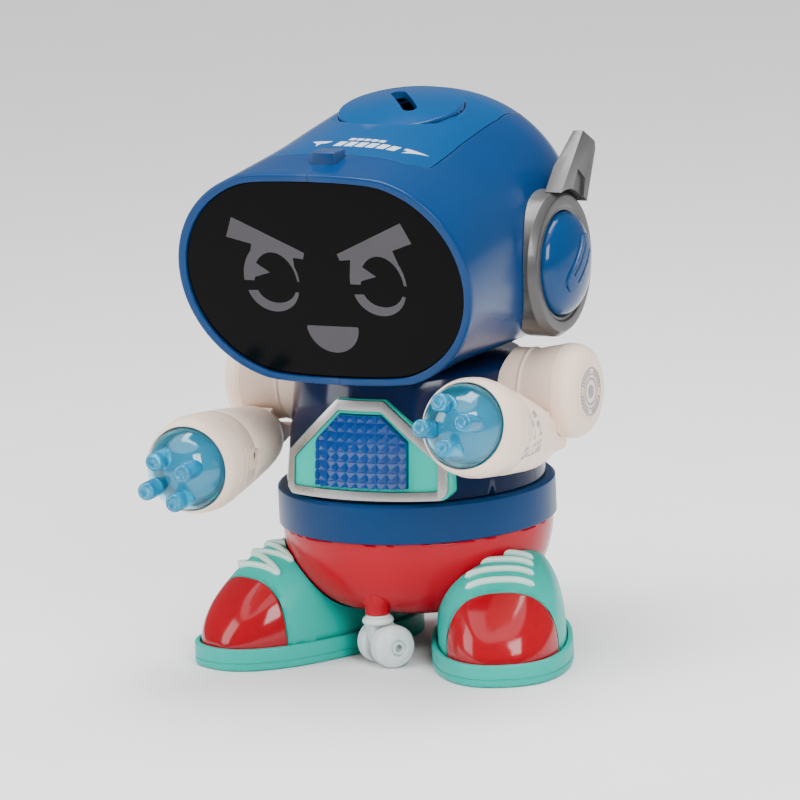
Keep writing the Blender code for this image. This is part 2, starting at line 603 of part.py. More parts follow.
def shoe(side, sign):
    def stand(p):
        x, y, z = turn_about_z(SPLAY, 0, 0)(p)
        return (sign * (SOLE_X + x), SOLE_Y + y, z)

    rings = [[(x, y, z) for x, y in sole_outline(grow)] for grow, z in
             ((-1.2, 0), (0, 1.2), (0, SOLE_H - 0.6), (-0.6, SOLE_H), (-1.8, SOLE_H),
              (-2.3, SOLE_H - 0.6), (-2.3, 6.6))]
    node("shoe_sole_" + side, moved(lofted(rings), stand), "hips", "turquoise")
    bowl_room = bpy.data.objects.get("guide_bowl_room") or guide("bowl_room", turned(
        [(r + 0.5, z - 0.4) for r, z in BOWL[:-1]] + [(0, 15.8), (0, 60), (55.1, 60)], sides=44))
    post_room = bpy.data.objects.get("guide_leg_room") or guide("leg_room", box((-7, -80, 0), (7, 80, 60)))
    behind = [p for p in SHOE_TOP if p[0] < CAP_BACK - 1] + [(CAP_BACK - GAP, 35)]
    ahead = [p for p in SHOE_TOP if p[0] >= CAP_BACK - 1]
    upper = node("shoe_upper_" + side, moved(lofted([shoe_section(*p) for p in behind]), stand), "hips",
                 "turquoise")
    carve(upper, bowl_room, post_room)
    node("shoe_toe_cap_" + side, moved(lofted([shoe_section(*p) for p in ahead]), stand), "hips", "red")
    strip = [shoe_section(along, height, 1.6)[6:15] + shoe_section(along, height, 0.6)[6:15][::-1]
             for along, height in ((4, 44.3), (12, 43), (21, 39), (25, 37.2))]
    laces = node("shoe_laces_" + side, moved(lofted(strip), stand), "hips", "lace")
    carve(laces, bowl_room)


def main():
    for obj in list(bpy.data.objects):
        bpy.data.objects.remove(obj, do_unlink=True)
    head()
    coin_disc()
    face()
    torso()
    chest()
    insides()
    for side, sign in (("left", 1), ("right", -1)):
        ear(side, sign)
        arm(side, sign)
    antenna()
    hips()
    caster()
    for side, sign in (("left", 1), ("right", -1)):
        shoe(side, sign)


main()
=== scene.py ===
# Toy robot money box: looks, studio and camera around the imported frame.
# Shapes are written in millimetres about the waist's upright axis; mm turns them into metres.
import bpy
import bmesh
from math import sin, cos, tan, pi, radians, copysign, sqrt
from mathutils import Matrix, Vector
from mathutils.bvhtree import BVHTree


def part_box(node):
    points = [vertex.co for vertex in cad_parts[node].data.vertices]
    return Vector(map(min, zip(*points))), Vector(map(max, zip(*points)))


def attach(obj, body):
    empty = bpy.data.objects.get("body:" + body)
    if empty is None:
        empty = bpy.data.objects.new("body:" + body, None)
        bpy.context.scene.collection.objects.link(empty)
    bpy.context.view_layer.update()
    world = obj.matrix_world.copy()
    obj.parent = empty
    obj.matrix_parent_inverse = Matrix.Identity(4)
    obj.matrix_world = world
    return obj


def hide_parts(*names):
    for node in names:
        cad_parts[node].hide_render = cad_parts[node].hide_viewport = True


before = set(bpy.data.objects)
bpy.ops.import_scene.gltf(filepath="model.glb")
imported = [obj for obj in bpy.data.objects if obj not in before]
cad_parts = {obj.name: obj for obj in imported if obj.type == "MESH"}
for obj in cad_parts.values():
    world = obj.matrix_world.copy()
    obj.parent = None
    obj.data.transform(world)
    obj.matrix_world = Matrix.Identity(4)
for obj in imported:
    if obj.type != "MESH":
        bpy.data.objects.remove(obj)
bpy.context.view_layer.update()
mm = 0.001
beltLow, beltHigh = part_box("waist_ring")
waistY = (beltLow[1] + beltHigh[1]) / 2      # the waist axis, in metres
print("stage: frame loaded")


# small maths for outlines

def filleted(outline, radius, steps=4):
    # closed outline with each corner rounded, as far as its edges allow
    rounded = []
    count = len(outline)
    for i in range(count):
        corner = Vector(outline[i])
        before, after = Vector(outline[i - 1]) - corner, Vector(outline[(i + 1) % count]) - corner
        if before.length < 1e-6 or after.length < 1e-6:
            rounded.append(tuple(corner))
            continue
        turn = before.angle(after)
        if turn > radians(168) or corner.x < 1e-6:
            rounded.append(tuple(corner))
            continue
        reach = min(radius / tan(turn / 2), before.length * 0.45, after.length * 0.45)
        start, end = corner + before.normalized() * reach, corner + after.normalized() * reach
        for k in range(steps + 1):
            t = k / steps
            rounded.append(tuple((1 - t) ** 2 * start + 2 * t * (1 - t) * corner + t * t * end))
    return rounded


def softened(outline, radius, steps=4):
    # the same for outlines that cross the upright axis
    moved = [(x + 1000, y) for x, y in outline]
    return [(x - 1000, y) for x, y in filleted(moved, radius, steps)]


def arc(cx, cy, rx, ry, start, end, steps=18):
    return [(cx + rx * cos(radians(start + (end - start) * k / steps)),
             cy + ry * sin(radians(start + (end - start) * k / steps))) for k in range(steps + 1)]


def eased(table, x, column):
    # smooth curve through one column of a table whose first column is the place along it
    xs = [row[0] for row in table]
    ys = [row[column] for row in table]
    k = max(0, min(len(xs) - 2, sum(1 for value in xs if value <= x) - 1))

    def slope(i):
        a, b = max(0, i - 1), min(len(xs) - 1, i + 1)
        return (ys[b] - ys[a]) / (xs[b] - xs[a])
    h = xs[k + 1] - xs[k]
    t = (x - xs[k]) / h
    return ((2 * t ** 3 - 3 * t * t + 1) * ys[k] + (t ** 3 - 2 * t * t + t) * h * slope(k)
            + (3 * t * t - 2 * t ** 3) * ys[k + 1] + (t ** 3 - t * t) * h * slope(k + 1))


# solids as (points, faces)

def onAxis(axis, origin):
    ox, oy, oz = origin
    return {"Z": lambda a, b, h: (ox + a, oy + b, oz + h),
            "X": lambda a, b, h: (ox + h, oy + a, oz + b),
            "-X": lambda a, b, h: (ox - h, oy + a, oz + b),
            "-Y": lambda a, b, h: (ox + a, oy - h, oz + b)}[axis]


def turned(profile, axis="Z", origin=(0, 0, 0), sides=96, start=0.0, sweep=360.0):
    # closed (radius, height) outline turned about an axis, all round or through part of a turn
    place = onAxis(axis, origin)
    full = sweep >= 360
    steps = sides if full else sides + 1
    points, rings = [], []
    for radius, h in profile:
        many = steps if radius > 1e-6 else 1
        rings.append([len(points) + k for k in range(many)])
        for k in range(many):
            a = radians(start + sweep * k / sides)
            points.append(place(radius * cos(a), radius * sin(a), h))
    faces = []
    for one, two in zip(rings, rings[1:] + rings[:1]):
        if len(one) + len(two) == 2:
            continue
        for k in range(sides):
            j = (k + 1) % len(one) if len(one) > 1 else 0
            i = (k + 1) % len(two) if len(two) > 1 else 0
            corners = (one[k % len(one)], one[j], two[i], two[k % len(two)])
            faces.append(list(dict.fromkeys(corners)))
    if not full:
        faces.append([ring[0] for ring in rings])
        faces.append([ring[-1] for ring in rings][::-1])
    return points, faces


def lofted(rings, closed=False):
    count = len(rings[0])
    points = [p for ring in rings for p in ring]
    faces = []
    last = len(rings) if closed else len(rings) - 1
    for r in range(last):
        one, two = r * count, (r + 1) % len(rings) * count
        faces += [[one + k, one + (k + 1) % count, two + (k + 1) % count, two + k] for k in range(count)]
    if not closed:
        end = (len(rings) - 1) * count
        faces += [list(range(count)), [end + k for k in range(count)][::-1]]
    return points, faces


def prism(outline, low, high, axis="Z", origin=(0, 0, 0)):
    place = onAxis(axis, origin)
    return lofted([[place(a, b, h) for a, b in outline] for h in (low, high)])


def block(low, high):
    (x0, y0, z0), (x1, y1, z1) = low, high
    return prism([(x0, y0), (x1, y0), (x1, y1), (x0, y1)], z0, z1)


def moved(solid, change):
    return [change(p) for p in solid[0]], solid[1]


def turnedAboutZ(angle, x, y):
    c, s = cos(radians(angle)), sin(radians(angle))
    return lambda p: (x + (p[0] - x) * c - (p[1] - y) * s, y + (p[0] - x) * s + (p[1] - y) * c, p[2])


def raisedAboutX(angle, y, z):
    c, s = cos(radians(-angle)), sin(radians(-angle))
    return lambda p: (p[0], y + (p[1] - y) * c - (p[2] - z) * s, z + (p[1] - y) * s + (p[2] - z) * c)


def tube(path, radius, sides=12, taper=None):
    # a round cord of plastic along a list of points, with rounded ends
    path = [Vector(p) for p in path]
    rings = []
    for i, p in enumerate(path):
        along = (path[min(i + 1, len(path) - 1)] - path[max(i - 1, 0)]).normalized()
        side = along.cross(Vector((0, 0, 1)))
        side = side.normalized() if side.length > 1e-4 else Vector((1, 0, 0))
        up = side.cross(along)
        r = radius * (taper(i / (len(path) - 1)) if taper else 1.0)
        rings.append([tuple(p + side * r * cos(2 * pi * k / sides) + up * r * sin(2 * pi * k / sides))
                      for k in range(sides)])
    return lofted(rings)


# objects

def meshOf(name, solid):
    points, faces = solid
    mesh = bpy.data.meshes.new(name)
    mesh.from_pydata([(x * mm, y * mm + waistY, z * mm) for x, y, z in points], [], faces)
    work = bmesh.new()
    work.from_mesh(mesh)
    bmesh.ops.remove_doubles(work, verts=work.verts, dist=1e-7)
    bmesh.ops.recalc_face_normals(work, faces=work.faces)
    work.to_mesh(mesh)
    work.free()
    return mesh


def objectOf(name, solid):
    obj = bpy.data.objects.new(name, meshOf(name, solid))
    bpy.context.collection.objects.link(obj)
    return obj


def settle(obj):
    # turn the modifiers into the object's own mesh
    graph = bpy.context.evaluated_depsgraph_get()
    obj.data = bpy.data.meshes.new_from_object(obj.evaluated_get(graph))
    obj.modifiers.clear()


def carve(obj, solids, operation="DIFFERENCE"):
    for k, solid in enumerate(solids):
        tool = objectOf("tool%d" % k, solid)
        mod = obj.modifiers.new("cut", "BOOLEAN")
        mod.operation = operation
        mod.solver = "EXACT"
        mod.object = tool
        settle(obj)
        bpy.data.objects.remove(tool, do_unlink=True)


def shade(obj, angle=38.0, like=None):
    # smooth shading with creases; a cut surface keeps the roundness it had before the cut
    mesh = obj.data
    mesh.shade_smooth()
    mesh.set_sharp_from_angle(angle=radians(angle))
    if like is None:
        return
    points, faces = like
    verts = [Vector((x * mm, y * mm + waistY, z * mm)) for x, y, z in points]
    tree = BVHTree.FromPolygons(verts, faces)
    normals = [Vector() for _ in verts]
    for face in faces:
        normal = faceNormal([verts[i] for i in face])
        for i in face:
            normals[i] += normal
    kept = [tuple(n.vector) for n in mesh.corner_normals]
    for poly in mesh.polygons:
        for loop in poly.loop_indices:
            spot = mesh.vertices[mesh.loops[loop].vertex_index].co
            near, flat, index, far = tree.find_nearest(spot)
            if index is None or far > 0.00004 or abs(flat.dot(poly.normal)) < 0.8:
                continue
            corners = faces[index]
            weights = [1 / (1e-7 + (verts[i] - spot).length) for i in corners]
            soft = sum((normals[i].normalized() * w for i, w in zip(corners, weights)),
                       Vector()).normalized()
            kept[loop] = tuple(soft if soft.dot(poly.normal) > 0 else -soft)
    mesh.normals_split_custom_set(kept)


def faceNormal(corners):
    normal = Vector()
    for k, corner in enumerate(corners):
        normal += corner.cross(corners[(k + 1) % len(corners)])
    return normal.normalized() if normal.length else normal


def bevel(obj, width, segments=3, angle=40.0):
    mod = obj.modifiers.new("edges", "BEVEL")
    mod.width = width * mm
    mod.segments = segments
    mod.limit_method = "ANGLE"
    mod.angle_limit = radians(angle)
    mod.harden_normals = False
    settle(obj)


def finish(obj, body, look, nodes=()):
    obj.data.materials.clear()
    obj.data.materials.append(finishes[look])
    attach(obj, body)
    if nodes:
        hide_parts(*nodes)


def cutPiece(name, solid, cuts, body, look, nodes=(), angle=35.0, like=None, within=(), edge=()):
    # what a solid shares with others, less what is cut from it
    obj = objectOf(name, solid)
    carve(obj, within, "INTERSECT")
    carve(obj, cuts)
    if edge:
        bevel(obj, *edge)
    shade(obj, angle, like)
    finish(obj, body, look, nodes)


def piece(name, solid, body, look, nodes=(), edge=(), angle=38.0):
    cutPiece(name, solid, (), body, look, nodes, angle, edge=edge)


# finishes

def setInputs(node, values):
    for name, value in values.items():
        node.inputs[name].default_value = value


def wire(tree, giver, output, taker, name):
    tree.links.new(giver.outputs[output], taker.inputs[name])


def noise(tree, place, scale, detail):
    node = tree.nodes.new("ShaderNodeTexNoise")
    setInputs(node, {"Scale": scale, "Detail": detail})
    wire(tree, place, "Object", node, "Vector")
    return node


def moulded(name, colour, rough=0.25, tint=0.05, coat=0.0, metal=0.0, grain=0.04, grainSize=1.3,
            through=0.0, scatter=0.0, wear=None, gloss=0.3):
    # injection-moulded plastic: faint flow clouds in the colour, uneven polish, fine orange peel, worn edges
    mat = bpy.data.materials.new(name)
    mat.use_nodes = True
    tree = mat.node_tree
    shader = tree.nodes["Principled BSDF"]
    setInputs(shader, {"Metallic": metal, "Coat Weight": coat, "Coat Roughness": 0.06, "IOR": 1.5,
                       "Specular IOR Level": gloss, "Transmission Weight": through})
    if scatter:
        setInputs(shader, {"Subsurface Weight": scatter, "Subsurface Radius": (1.0, 0.8, 0.7),
                           "Subsurface Scale": 0.002})
    place = tree.nodes.new("ShaderNodeTexCoord")
    clouds = noise(tree, place, 22.0, 3.0)
    ramp = tree.nodes.new("ShaderNodeValToRGB")
    for stop, position, share in zip(ramp.color_ramp.elements, (0.3, 0.7), (1 - tint, 1 + tint)):
        stop.position = position
        stop.color = (*[min(1.0, c * share) for c in colour], 1)
    wire(tree, clouds, "Fac", ramp, "Fac")
    base = wornEdges(tree, ramp, wear) if wear else ramp
    wire(tree, base, "Color", shader, "Base Color")
    smears = noise(tree, place, 85.0, 4.0)
    polish = tree.nodes.new("ShaderNodeMapRange")
    setInputs(polish, {"To Min": rough * 0.8, "To Max": rough * 1.25})
    wire(tree, smears, "Fac", polish, "Value")
    wire(tree, polish, "Result", shader, "Roughness")
    peel = noise(tree, place, 1000.0 / grainSize, 2.0)
    bumped(tree, peel, grain, 0.0002)
    return mat


def bumped(tree, height, strength, distance):
    bump = tree.nodes.new("ShaderNodeBump")
    setInputs(bump, {"Strength": strength, "Distance": distance})
    wire(tree, height, "Fac", bump, "Height")
    wire(tree, bump, "Normal", tree.nodes["Principled BSDF"], "Normal")


def wornEdges(tree, base, amount):
    # paler rubbed colour where the surface turns sharply
    geometry = tree.nodes.new("ShaderNodeNewGeometry")
    edge = tree.nodes.new("ShaderNodeMapRange")
    setInputs(edge, {"From Min": 0.53, "From Max": 0.62, "To Max": amount})
    mix = tree.nodes.new("ShaderNodeMixRGB")
    mix.blend_type = "SCREEN"
    setInputs(mix, {"Color2": (0.5, 0.5, 0.5, 1)})
    wire(tree, geometry, "Pointiness", edge, "Value")
    wire(tree, edge, "Result", mix, "Fac")
    wire(tree, base, "Color", mix, "Color1")
    return mix


def brushed(name, colour, rough=0.28):
    # drawn or sprayed metal look with fine scratches along one way
    mat = moulded(name, colour, rough, tint=0.08, metal=0.85, grain=0.05)
    tree = mat.node_tree
    place = tree.nodes.new("ShaderNodeTexCoord")
    scale = tree.nodes.new("ShaderNodeMapping")
    setInputs(scale, {"Scale": (40, 900, 900)})
    lines = tree.nodes.new("ShaderNodeTexNoise")
    setInputs(lines, {"Scale": 3.0})
    wire(tree, place, "Object", scale, "Vector")
    wire(tree, scale, "Vector", lines, "Vector")
    bumped(tree, lines, 0.08, 0.0001)
    return mat


finishes = {
    "headBlue": moulded("headBlue", (0.0, 0.034, 0.13), 0.2, wear=0.04, gloss=0.2),
    "lidBlue": moulded("lidBlue", (0.0, 0.05, 0.17), 0.22, wear=0.04, gloss=0.2),
    "bodyBlue": moulded("bodyBlue", (0.0, 0.010, 0.05), 0.13, wear=0.03, gloss=0.3),
    "beltBlue": moulded("beltBlue", (0.0, 0.034, 0.125), 0.3, wear=0.04, gloss=0.15),
    "red": moulded("red", (0.42, 0.0, 0.012), 0.2, gloss=0.2),
    "capRed": moulded("capRed", (0.34, 0.0, 0.008), 0.12, gloss=0.35),
    "shoeGreen": moulded("shoeGreen", (0.0, 0.40, 0.33), 0.36, wear=0.04, gloss=0.15),
    "plateGreen": moulded("plateGreen", (0.0, 0.58, 0.46), 0.25, gloss=0.2),
    "cream": moulded("cream", (0.92, 0.72, 0.58), 0.34, scatter=0.05, gloss=0.2),
    "earGrey": moulded("earGrey", (0.075, 0.073, 0.072), 0.36, tint=0.09, metal=0.55, grain=0.09,
                       grainSize=0.6, wear=0.35, coat=0.25),
    # near-black used as painted shade: a sheet on the floors of the ear slits and of the fin window
    "paintedSlotShade": moulded("paintedSlotShade", (0.035, 0.034, 0.036), 0.4, grain=0.08, coat=0.25),
    "silver": brushed("silver", (0.42, 0.42, 0.41)),
    "lens": moulded("lens", (0.10, 0.66, 0.86), 0.06, through=0.92, coat=0.1, grain=0.02),
    "pegs": moulded("pegs", (0.0, 0.40, 0.66), 0.06, through=0.65, coat=0.1, grain=0.02),
    "prisms": moulded("prisms", (0.0, 0.055, 0.26), 0.06, coat=0.4, through=0.2, grain=0.02),
    "screen": moulded("screen", (0.0012, 0.0012, 0.0014), 0.14, grain=0.01, gloss=0.06),
    "windows": moulded("windows", (0.065, 0.061, 0.068), 0.35, grain=0.02, gloss=0.1),
    "milky": moulded("milky", (0.70, 0.76, 0.77), 0.3, scatter=0.35, through=0.1, coat=0.25),
    "lace": moulded("lace", (0.52, 0.78, 0.70), 0.42),
    "print": moulded("print", (0.30, 0.31, 0.34), 0.45),
    "paleBadge": moulded("paleBadge", (0.62, 0.70, 0.78), 0.3, metal=0.2),
    "nylon": moulded("nylon", (0.75, 0.74, 0.68), 0.45, scatter=0.2, coat=0.25),
    "steel": brushed("steel", (0.5, 0.5, 0.52), 0.25),
    "board": moulded("board", (0.01, 0.16, 0.06), 0.4, tint=0.3, coat=0.25),
    "jacket": moulded("jacket", (0.02, 0.02, 0.022), 0.3, metal=0.3, coat=0.25),
    "black": moulded("black", (0.012, 0.012, 0.013), 0.35, coat=0.25),
    "earCap": moulded("earCap", (0.0, 0.04, 0.14), 0.14, wear=0.04),
    "badgeBrown": moulded("badgeBrown", (0.16, 0.07, 0.06), 0.35, coat=0.25),
    "handPlate": moulded("handPlate", (0.36, 0.55, 0.60), 0.45, coat=0.25),
}
print("stage: finishes mixed")


# head

head = {"faceY": -76.5, "faceZ": 163.2, "tilt": 13.5, "screenW": 59.6, "screenH": 42.0, "domeY": 21.0,
        "domeR": 66.0, "wall": 2.4, "sides": 144, "seam": 0.12}
# behind the face, share of tilt, roundness, half width, middle, top and bottom heights
headSections = (
    (0, 1.0, 0.0, 63.3, 163.2, 207.2, 119.2),
    (12, 0.9, 0.12, 63.2, 162.8, 208.8, 119.4),
    (28, 0.7, 0.38, 62.6, 162.0, 211.6, 119.8),
    (46, 0.45, 0.68, 61.8, 161.0, 215.0, 120.0),
    (66, 0.2, 0.9, 61.2, 160.0, 219.2, 120.0),
    (84, 0.0, 1.0, 61.0, 159.2, 222.2, 120.0),
    (97.5, 0.0, 1.0, 61.0, 159.0, 223.0, 120.0))


def stadium(width, height, count):
    outline = []
    for k in range(count):
        t = 2 * pi * k / count
        along = sin(pi / 2 * max(-1.0, min(1.0, cos(t) / 0.3)))
        outline.append(((width - height) * along + height * cos(t), height * sin(t)))
    return outline


def helmetOutline(width, top, bottom, count):
    # rounder above, squarer below
    outline = []
    for k in range(count):
        c, s = cos(2 * pi * k / count), sin(2 * pi * k / count)
        power, half = (2.15, top) if s > 0 else (3.2, bottom)
        outline.append((width * copysign(abs(c) ** (2 / power), c),
                        half * copysign(abs(s) ** (2 / power), s)))
    return outline


def screenRing(back, shrink, count=None):
    tilt = radians(head["tilt"])
    return [(x, head["faceY"] + back - v * sin(tilt), head["faceZ"] + v * cos(tilt))
            for x, v in stadium(head["screenW"] - shrink, head["screenH"] - shrink, count or head["sides"])]


def headRing(back, inset):
    tilt, mix, width, middle, top, bottom = [eased(headSections, back, k) for k in range(1, 7)]
    slope = tan(radians(head["tilt"]))
    flat = stadium(width - inset, (top - bottom) / 2 - inset, head["sides"])
    full = helmetOutline(width - inset, top - middle - inset, middle - bottom - inset, head["sides"])
    ring = []
    for (x1, v1), (x2, v2) in zip(flat, full):
        v1 += (top + bottom) / 2 - middle
        x, v = (1 - mix) * x1 + mix * x2, (1 - mix) * v1 + mix * v2
        ring.append((x, head["faceY"] + back - tilt * slope * v, middle + v))
    return ring


def domeRing(angle, inset):
    width, middle, top, bottom = headSections[-1][3:]
    c = cos(radians(angle))
    outline = helmetOutline((width - inset) * c, (top - middle - inset) * c, (middle - bottom - inset) * c,
                            head["sides"])
    return [(x, head["domeY"] + (head["domeR"] - inset) * sin(radians(angle)), middle + v) for x,
            v in outline]


def headShellSolid():
    # from the inner pole forward, round the rim of the face and back to the outer pole
    wall, deepest = head["wall"], headSections[-1][0]
    rings = [domeRing(a, wall) for a in range(87, 0, -6)]
    rings += [headRing(deepest * k / 12, wall) for k in range(12, 1, -1)]
    rings += [screenRing(5.0, -0.3), screenRing(0.5, -0.3), screenRing(0.12, -0.42), screenRing(0.0, -0.8)]
    rings += [headRing(0.0, 0.9), headRing(0.12, 0.45), headRing(0.4, 0.15), headRing(0.9, 0.0)]
    rings += [headRing(deepest * k / 30, 0.0) for k in range(1, 31)]
    rings += [domeRing(a, 0.0) for a in range(3, 90, 3)]
    return lofted(rings)


def lidPlan(grow):
    half = [(30, -61.5 - grow), (37.5 + grow, -54), (36 + grow, -20), (35.5 + grow, 16),
            (33 + grow, 44.6 + 5 * grow)]
    return softened(half + [(-x, y) for x, y in reversed(half)], 5.0, 5)


disc = {"y": 2.0, "z": 219.0, "r": 25.4, "lean": 9.3, "rise": 3.0, "groove": 28.5}
slot = {"x": 0.8, "y": 3.0, "turn": 37.0, "halfLength": 10.6, "halfWidth": 3.0}
latch = {"low": (-5.3, -72.3, 199.0), "high": (5.3, -61.9, 213.6)}
headForm = headShellSolid()


def onDisc(p):
    return raisedAboutX(-disc["lean"], disc["y"], disc["z"])(p)


def discSolid(profile, sides=96):
    return moved(turned(profile, "Z", (0, disc["y"], disc["z"]), sides), onDisc)


def buildHead():
    latchRoom = block((-5.6, -72.6, 190), (5.6, -61.6, 225))
    neckRoom = turned([(0, 110), (24.6, 110), (24.6, 128), (0, 128)])
    for side, sign in (("Left", 1), ("Right", -1)):
        near, far = sorted((sign * head["seam"], sign * 90))
        cutPiece("headShell" + side, headForm, [prism(lidPlan(0.45), 185, 240), latchRoom, neckRoom],
                 "torso",
                 "headBlue", ["head_shell_" + side.lower()], 38, headForm,
                 [block((near, -120, 90), (far, 120, 260))])
    groove = [(0, -12), (disc["r"] + 0.25, -12), (disc["r"] + 0.25, -1.4), (disc["groove"] - 0.5, -1.3),
              (disc["groove"], -0.9), (disc["groove"], 14), (0, 14)]
    cutPiece("headLid", headForm, [latchRoom, discSolid(groove)], "lid", "lidBlue",
             ["head_lid"], 30, headForm, [prism(lidPlan(0.0), 185, 240)])


def buildCoinDisc():
    r, rise = disc["r"], disc["rise"]
    dome = [(r * s, rise * (1 - s * s) * 0.9) for s in [k / 16 for k in range(16)]]
    edge = [(r - 0.5, 0.22), (r - 0.15, 0.05), (r, -0.3), (r, -2.4), (0, -2.4 + rise)]
    form = discSolid(dome + edge)
    half = arc(0, slot["halfLength"], slot["halfWidth"], slot["halfWidth"], 0, 180, 12)
    opening = prism(half + [(-x, -y) for x, y in half], -20, 20, "Z", (slot["x"], slot["y"], disc["z"]))
    cutPiece("coinDisc", form, [moved(opening, turnedAboutZ(slot["turn"], slot["x"], slot["y"]))], "lid",
             "lidBlue", ["coin_slot_disc"], like=form)


def buildLatch():
    piece("lidLatch", block(latch["low"], latch["high"]), "latch", "headBlue",
          ["lid_latch"], edge=(0.6,))


def buildHingePin():
    pin = filleted([(0, -9), (1.0, -9), (1.0, 9), (0, 9)], 0.3, 2)
    piece("lidHingePin", turned(pin, "X", (0, 46.4, 215.6), 48), "torso", "steel",
          ["lid_hinge_pin"])


buildHead()
buildHingePin()
buildCoinDisc()
buildLatch()
print("stage: head done")


# face

face = {"recess": 1.2, "print": 0.05, "browOuterTop": (36.6, 25.9), "browOuterLow": (40.2, 17.3),
        "browInnerTop": (7.1, 11.5), "browInnerLow": (8.0, 8.8), "eyeX": 23.1, "mouthTop": -19.8}


def onScreen(u, v, lift=0.0):
    tilt = radians(head["tilt"])
    out = face["recess"] - lift
    return (u, head["faceY"] + out * cos(tilt) - v * sin(tilt), head["faceZ"] + v * cos(tilt))


def eyeUpper(sign):
    # brow joined to the top of the eye ring, with a wedge of light cut into its left side
    x = sign * face["eyeX"]
    ring = arc(x, -1.2, 12.2, 16.4, 0, 33) if sign > 0 else arc(x, -1.2, 11.9, 15.0, 0, 33)
    inner = arc(x + 1.6, -1.4, 9.4, 12.6, 2, 142, 26)
    wedge = [(x - 0.4, 2.5), (x - 7.2, 0.3), (x - 7.7, -1.2), (x - 12.1, -1.2)]
    left = arc(x, -1.2, 12.1, 16.2, 180, 150) if sign > 0 else arc(x, -1.2, 12.1, 16.0, 180, 128)
    top, low = face["browOuterTop"], face["browOuterLow"]
    innerTop, innerLow = face["browInnerTop"], face["browInnerLow"]
    if sign > 0:
        brow = [(12.6, 9.3), innerLow, innerTop, top, low, (31.4, 13.9)]
        return inner + wedge + left[:9] + brow + ring[::-1]
    brow = [(-29.6, 14.6), (-low[0], low[1]), (-top[0], top[1]), (-innerTop[0], innerTop[1]),
            (-innerLow[0], innerLow[1]), (-12.4, 9.2)]
    return inner + wedge + left + brow + ring[:-4][::-1]


def eyeLower(sign):
    x = sign * face["eyeX"]
    outer = arc(x, -3.0, 11.4, 11.4, 193, 345, 26)
    inner = arc(x + 1.4, -3.4, 8.6, 7.2, 342, 196, 26)
    return outer + inner


def mouth():
    top = face["mouthTop"]
    return softened(arc(0.2, top, 11.2, 11.4, 180, 360, 24), 1.2, 3)


def faceInlay(name, outline):
    # a thin window lying on the screen
    lift = face["print"]
    layers = [[onScreen(u, v, high) for u, v in outline] for high in (lift, lift - 0.15)]
    piece(name, lofted(layers), "torso", "windows", angle=30)


def buildFace():
    rings = [screenRing(3.4, 0.0), screenRing(face["recess"] + 0.25, 0.0),
             screenRing(face["recess"] + 0.05, 0.1),
             screenRing(face["recess"], 0.4)]
    piece("faceScreen", lofted(rings), "torso", "screen", ["face_screen"])
    for side, sign in (("Left", 1), ("Right", -1)):
        faceInlay("eyeUpper" + side, eyeUpper(sign))
        faceInlay("eyeLower" + side, eyeLower(sign))
    faceInlay("mouthWindow", mouth())


buildFace()
print("stage: face done")


# ears

ear = {"x": 59.4, "y": 6.0, "z": 157.0, "r": 29.4, "cap": 20.8, "gap": 0.3, "slant": 47.0, "finLow": 61.3,
       "finHigh": 68.5}


def headSkin(inset):
    # the outside of the head as one closed solid, grown or shrunk
    deepest = headSections[-1][0]
    rings = [headRing(deepest * k / 24, inset) for k in range(25)]
    rings += [domeRing(a, inset) for a in range(6, 90, 6)]
    return lofted(rings)


headGrown = headSkin(-0.25)


def capProfile(grow):
    low, r = ear["x"] + 5.0, ear["cap"] + grow
    rim = [(r - 0.3, low), (r, low + 0.3), (r, low + 1.2)]
    dome = arc(0, low + 1.2, r, 9.0 + grow, 6, 84, 13)
    return rim + dome + [(0, low + 10.2 + grow), (0, low + 8.0 - grow), (r - 2.0, low)]


def slanted(points, angle):
    c, s = cos(radians(angle)), sin(radians(angle))
    return [(a * c - b * s, a * s + b * c) for a, b in points]


def buildEar(side, sign):
    axis, centre = ("X" if sign > 0 else "-X"), (0, ear["y"], ear["z"])
    r, cap = ear["r"], ear["cap"] + ear["gap"]
    rim = filleted([(cap, ear["x"] - 6), (r, ear["x"] - 6), (r, 63.6), (r - 2.2, 66.6), (r - 6.2, 66.6),
                    (r - 6.7, 66.0), (cap, 66.0)], 0.9, 4)
    cutPiece("earRing" + side, turned(rim, axis, centre, 128), [headGrown], "torso", "earGrey",
             ["ear_ring_" + side.lower()])
    piece("earCap" + side, turned(capProfile(0), axis, centre, 128), "torso", "earCap",
          ["ear_cap_" + side.lower()])
    oval = [(4.6 * cos(2 * pi * k / 64) - 1.2, 4.6 * sin(2 * pi * k / 64) + (9 if k < 32 else -9))
            for k in range(64)]
    slits = [prism(slanted([(x - 0.5, -8.3), (x + 0.5, -8.3), (x + 0.5, 8.3), (x - 0.5, 8.3)],
                           -ear["slant"]),
                   60, 90, axis, centre) for x in (-3.4, 1.0)]
    cutPiece("earBoss" + side, turned(capProfile(0.9), axis, centre, 128),
             [turned(capProfile(-0.05), axis, centre, 96)] + slits, "torso", "earCap",
             within=[prism(slanted(oval, -ear["slant"]), 60, 90, axis, centre)], edge=(0.35,))
    # a near-black film on the floor of each slit groove: painted shade in the grooves
    for k, slit in enumerate(slits):
        cutPiece("earSlitShade%s%d" % (side, k), turned(capProfile(0.15), axis, centre, 96),
                 [turned(capProfile(-0.04), axis, centre, 96)], "torso", "paintedSlotShade", within=[slit])


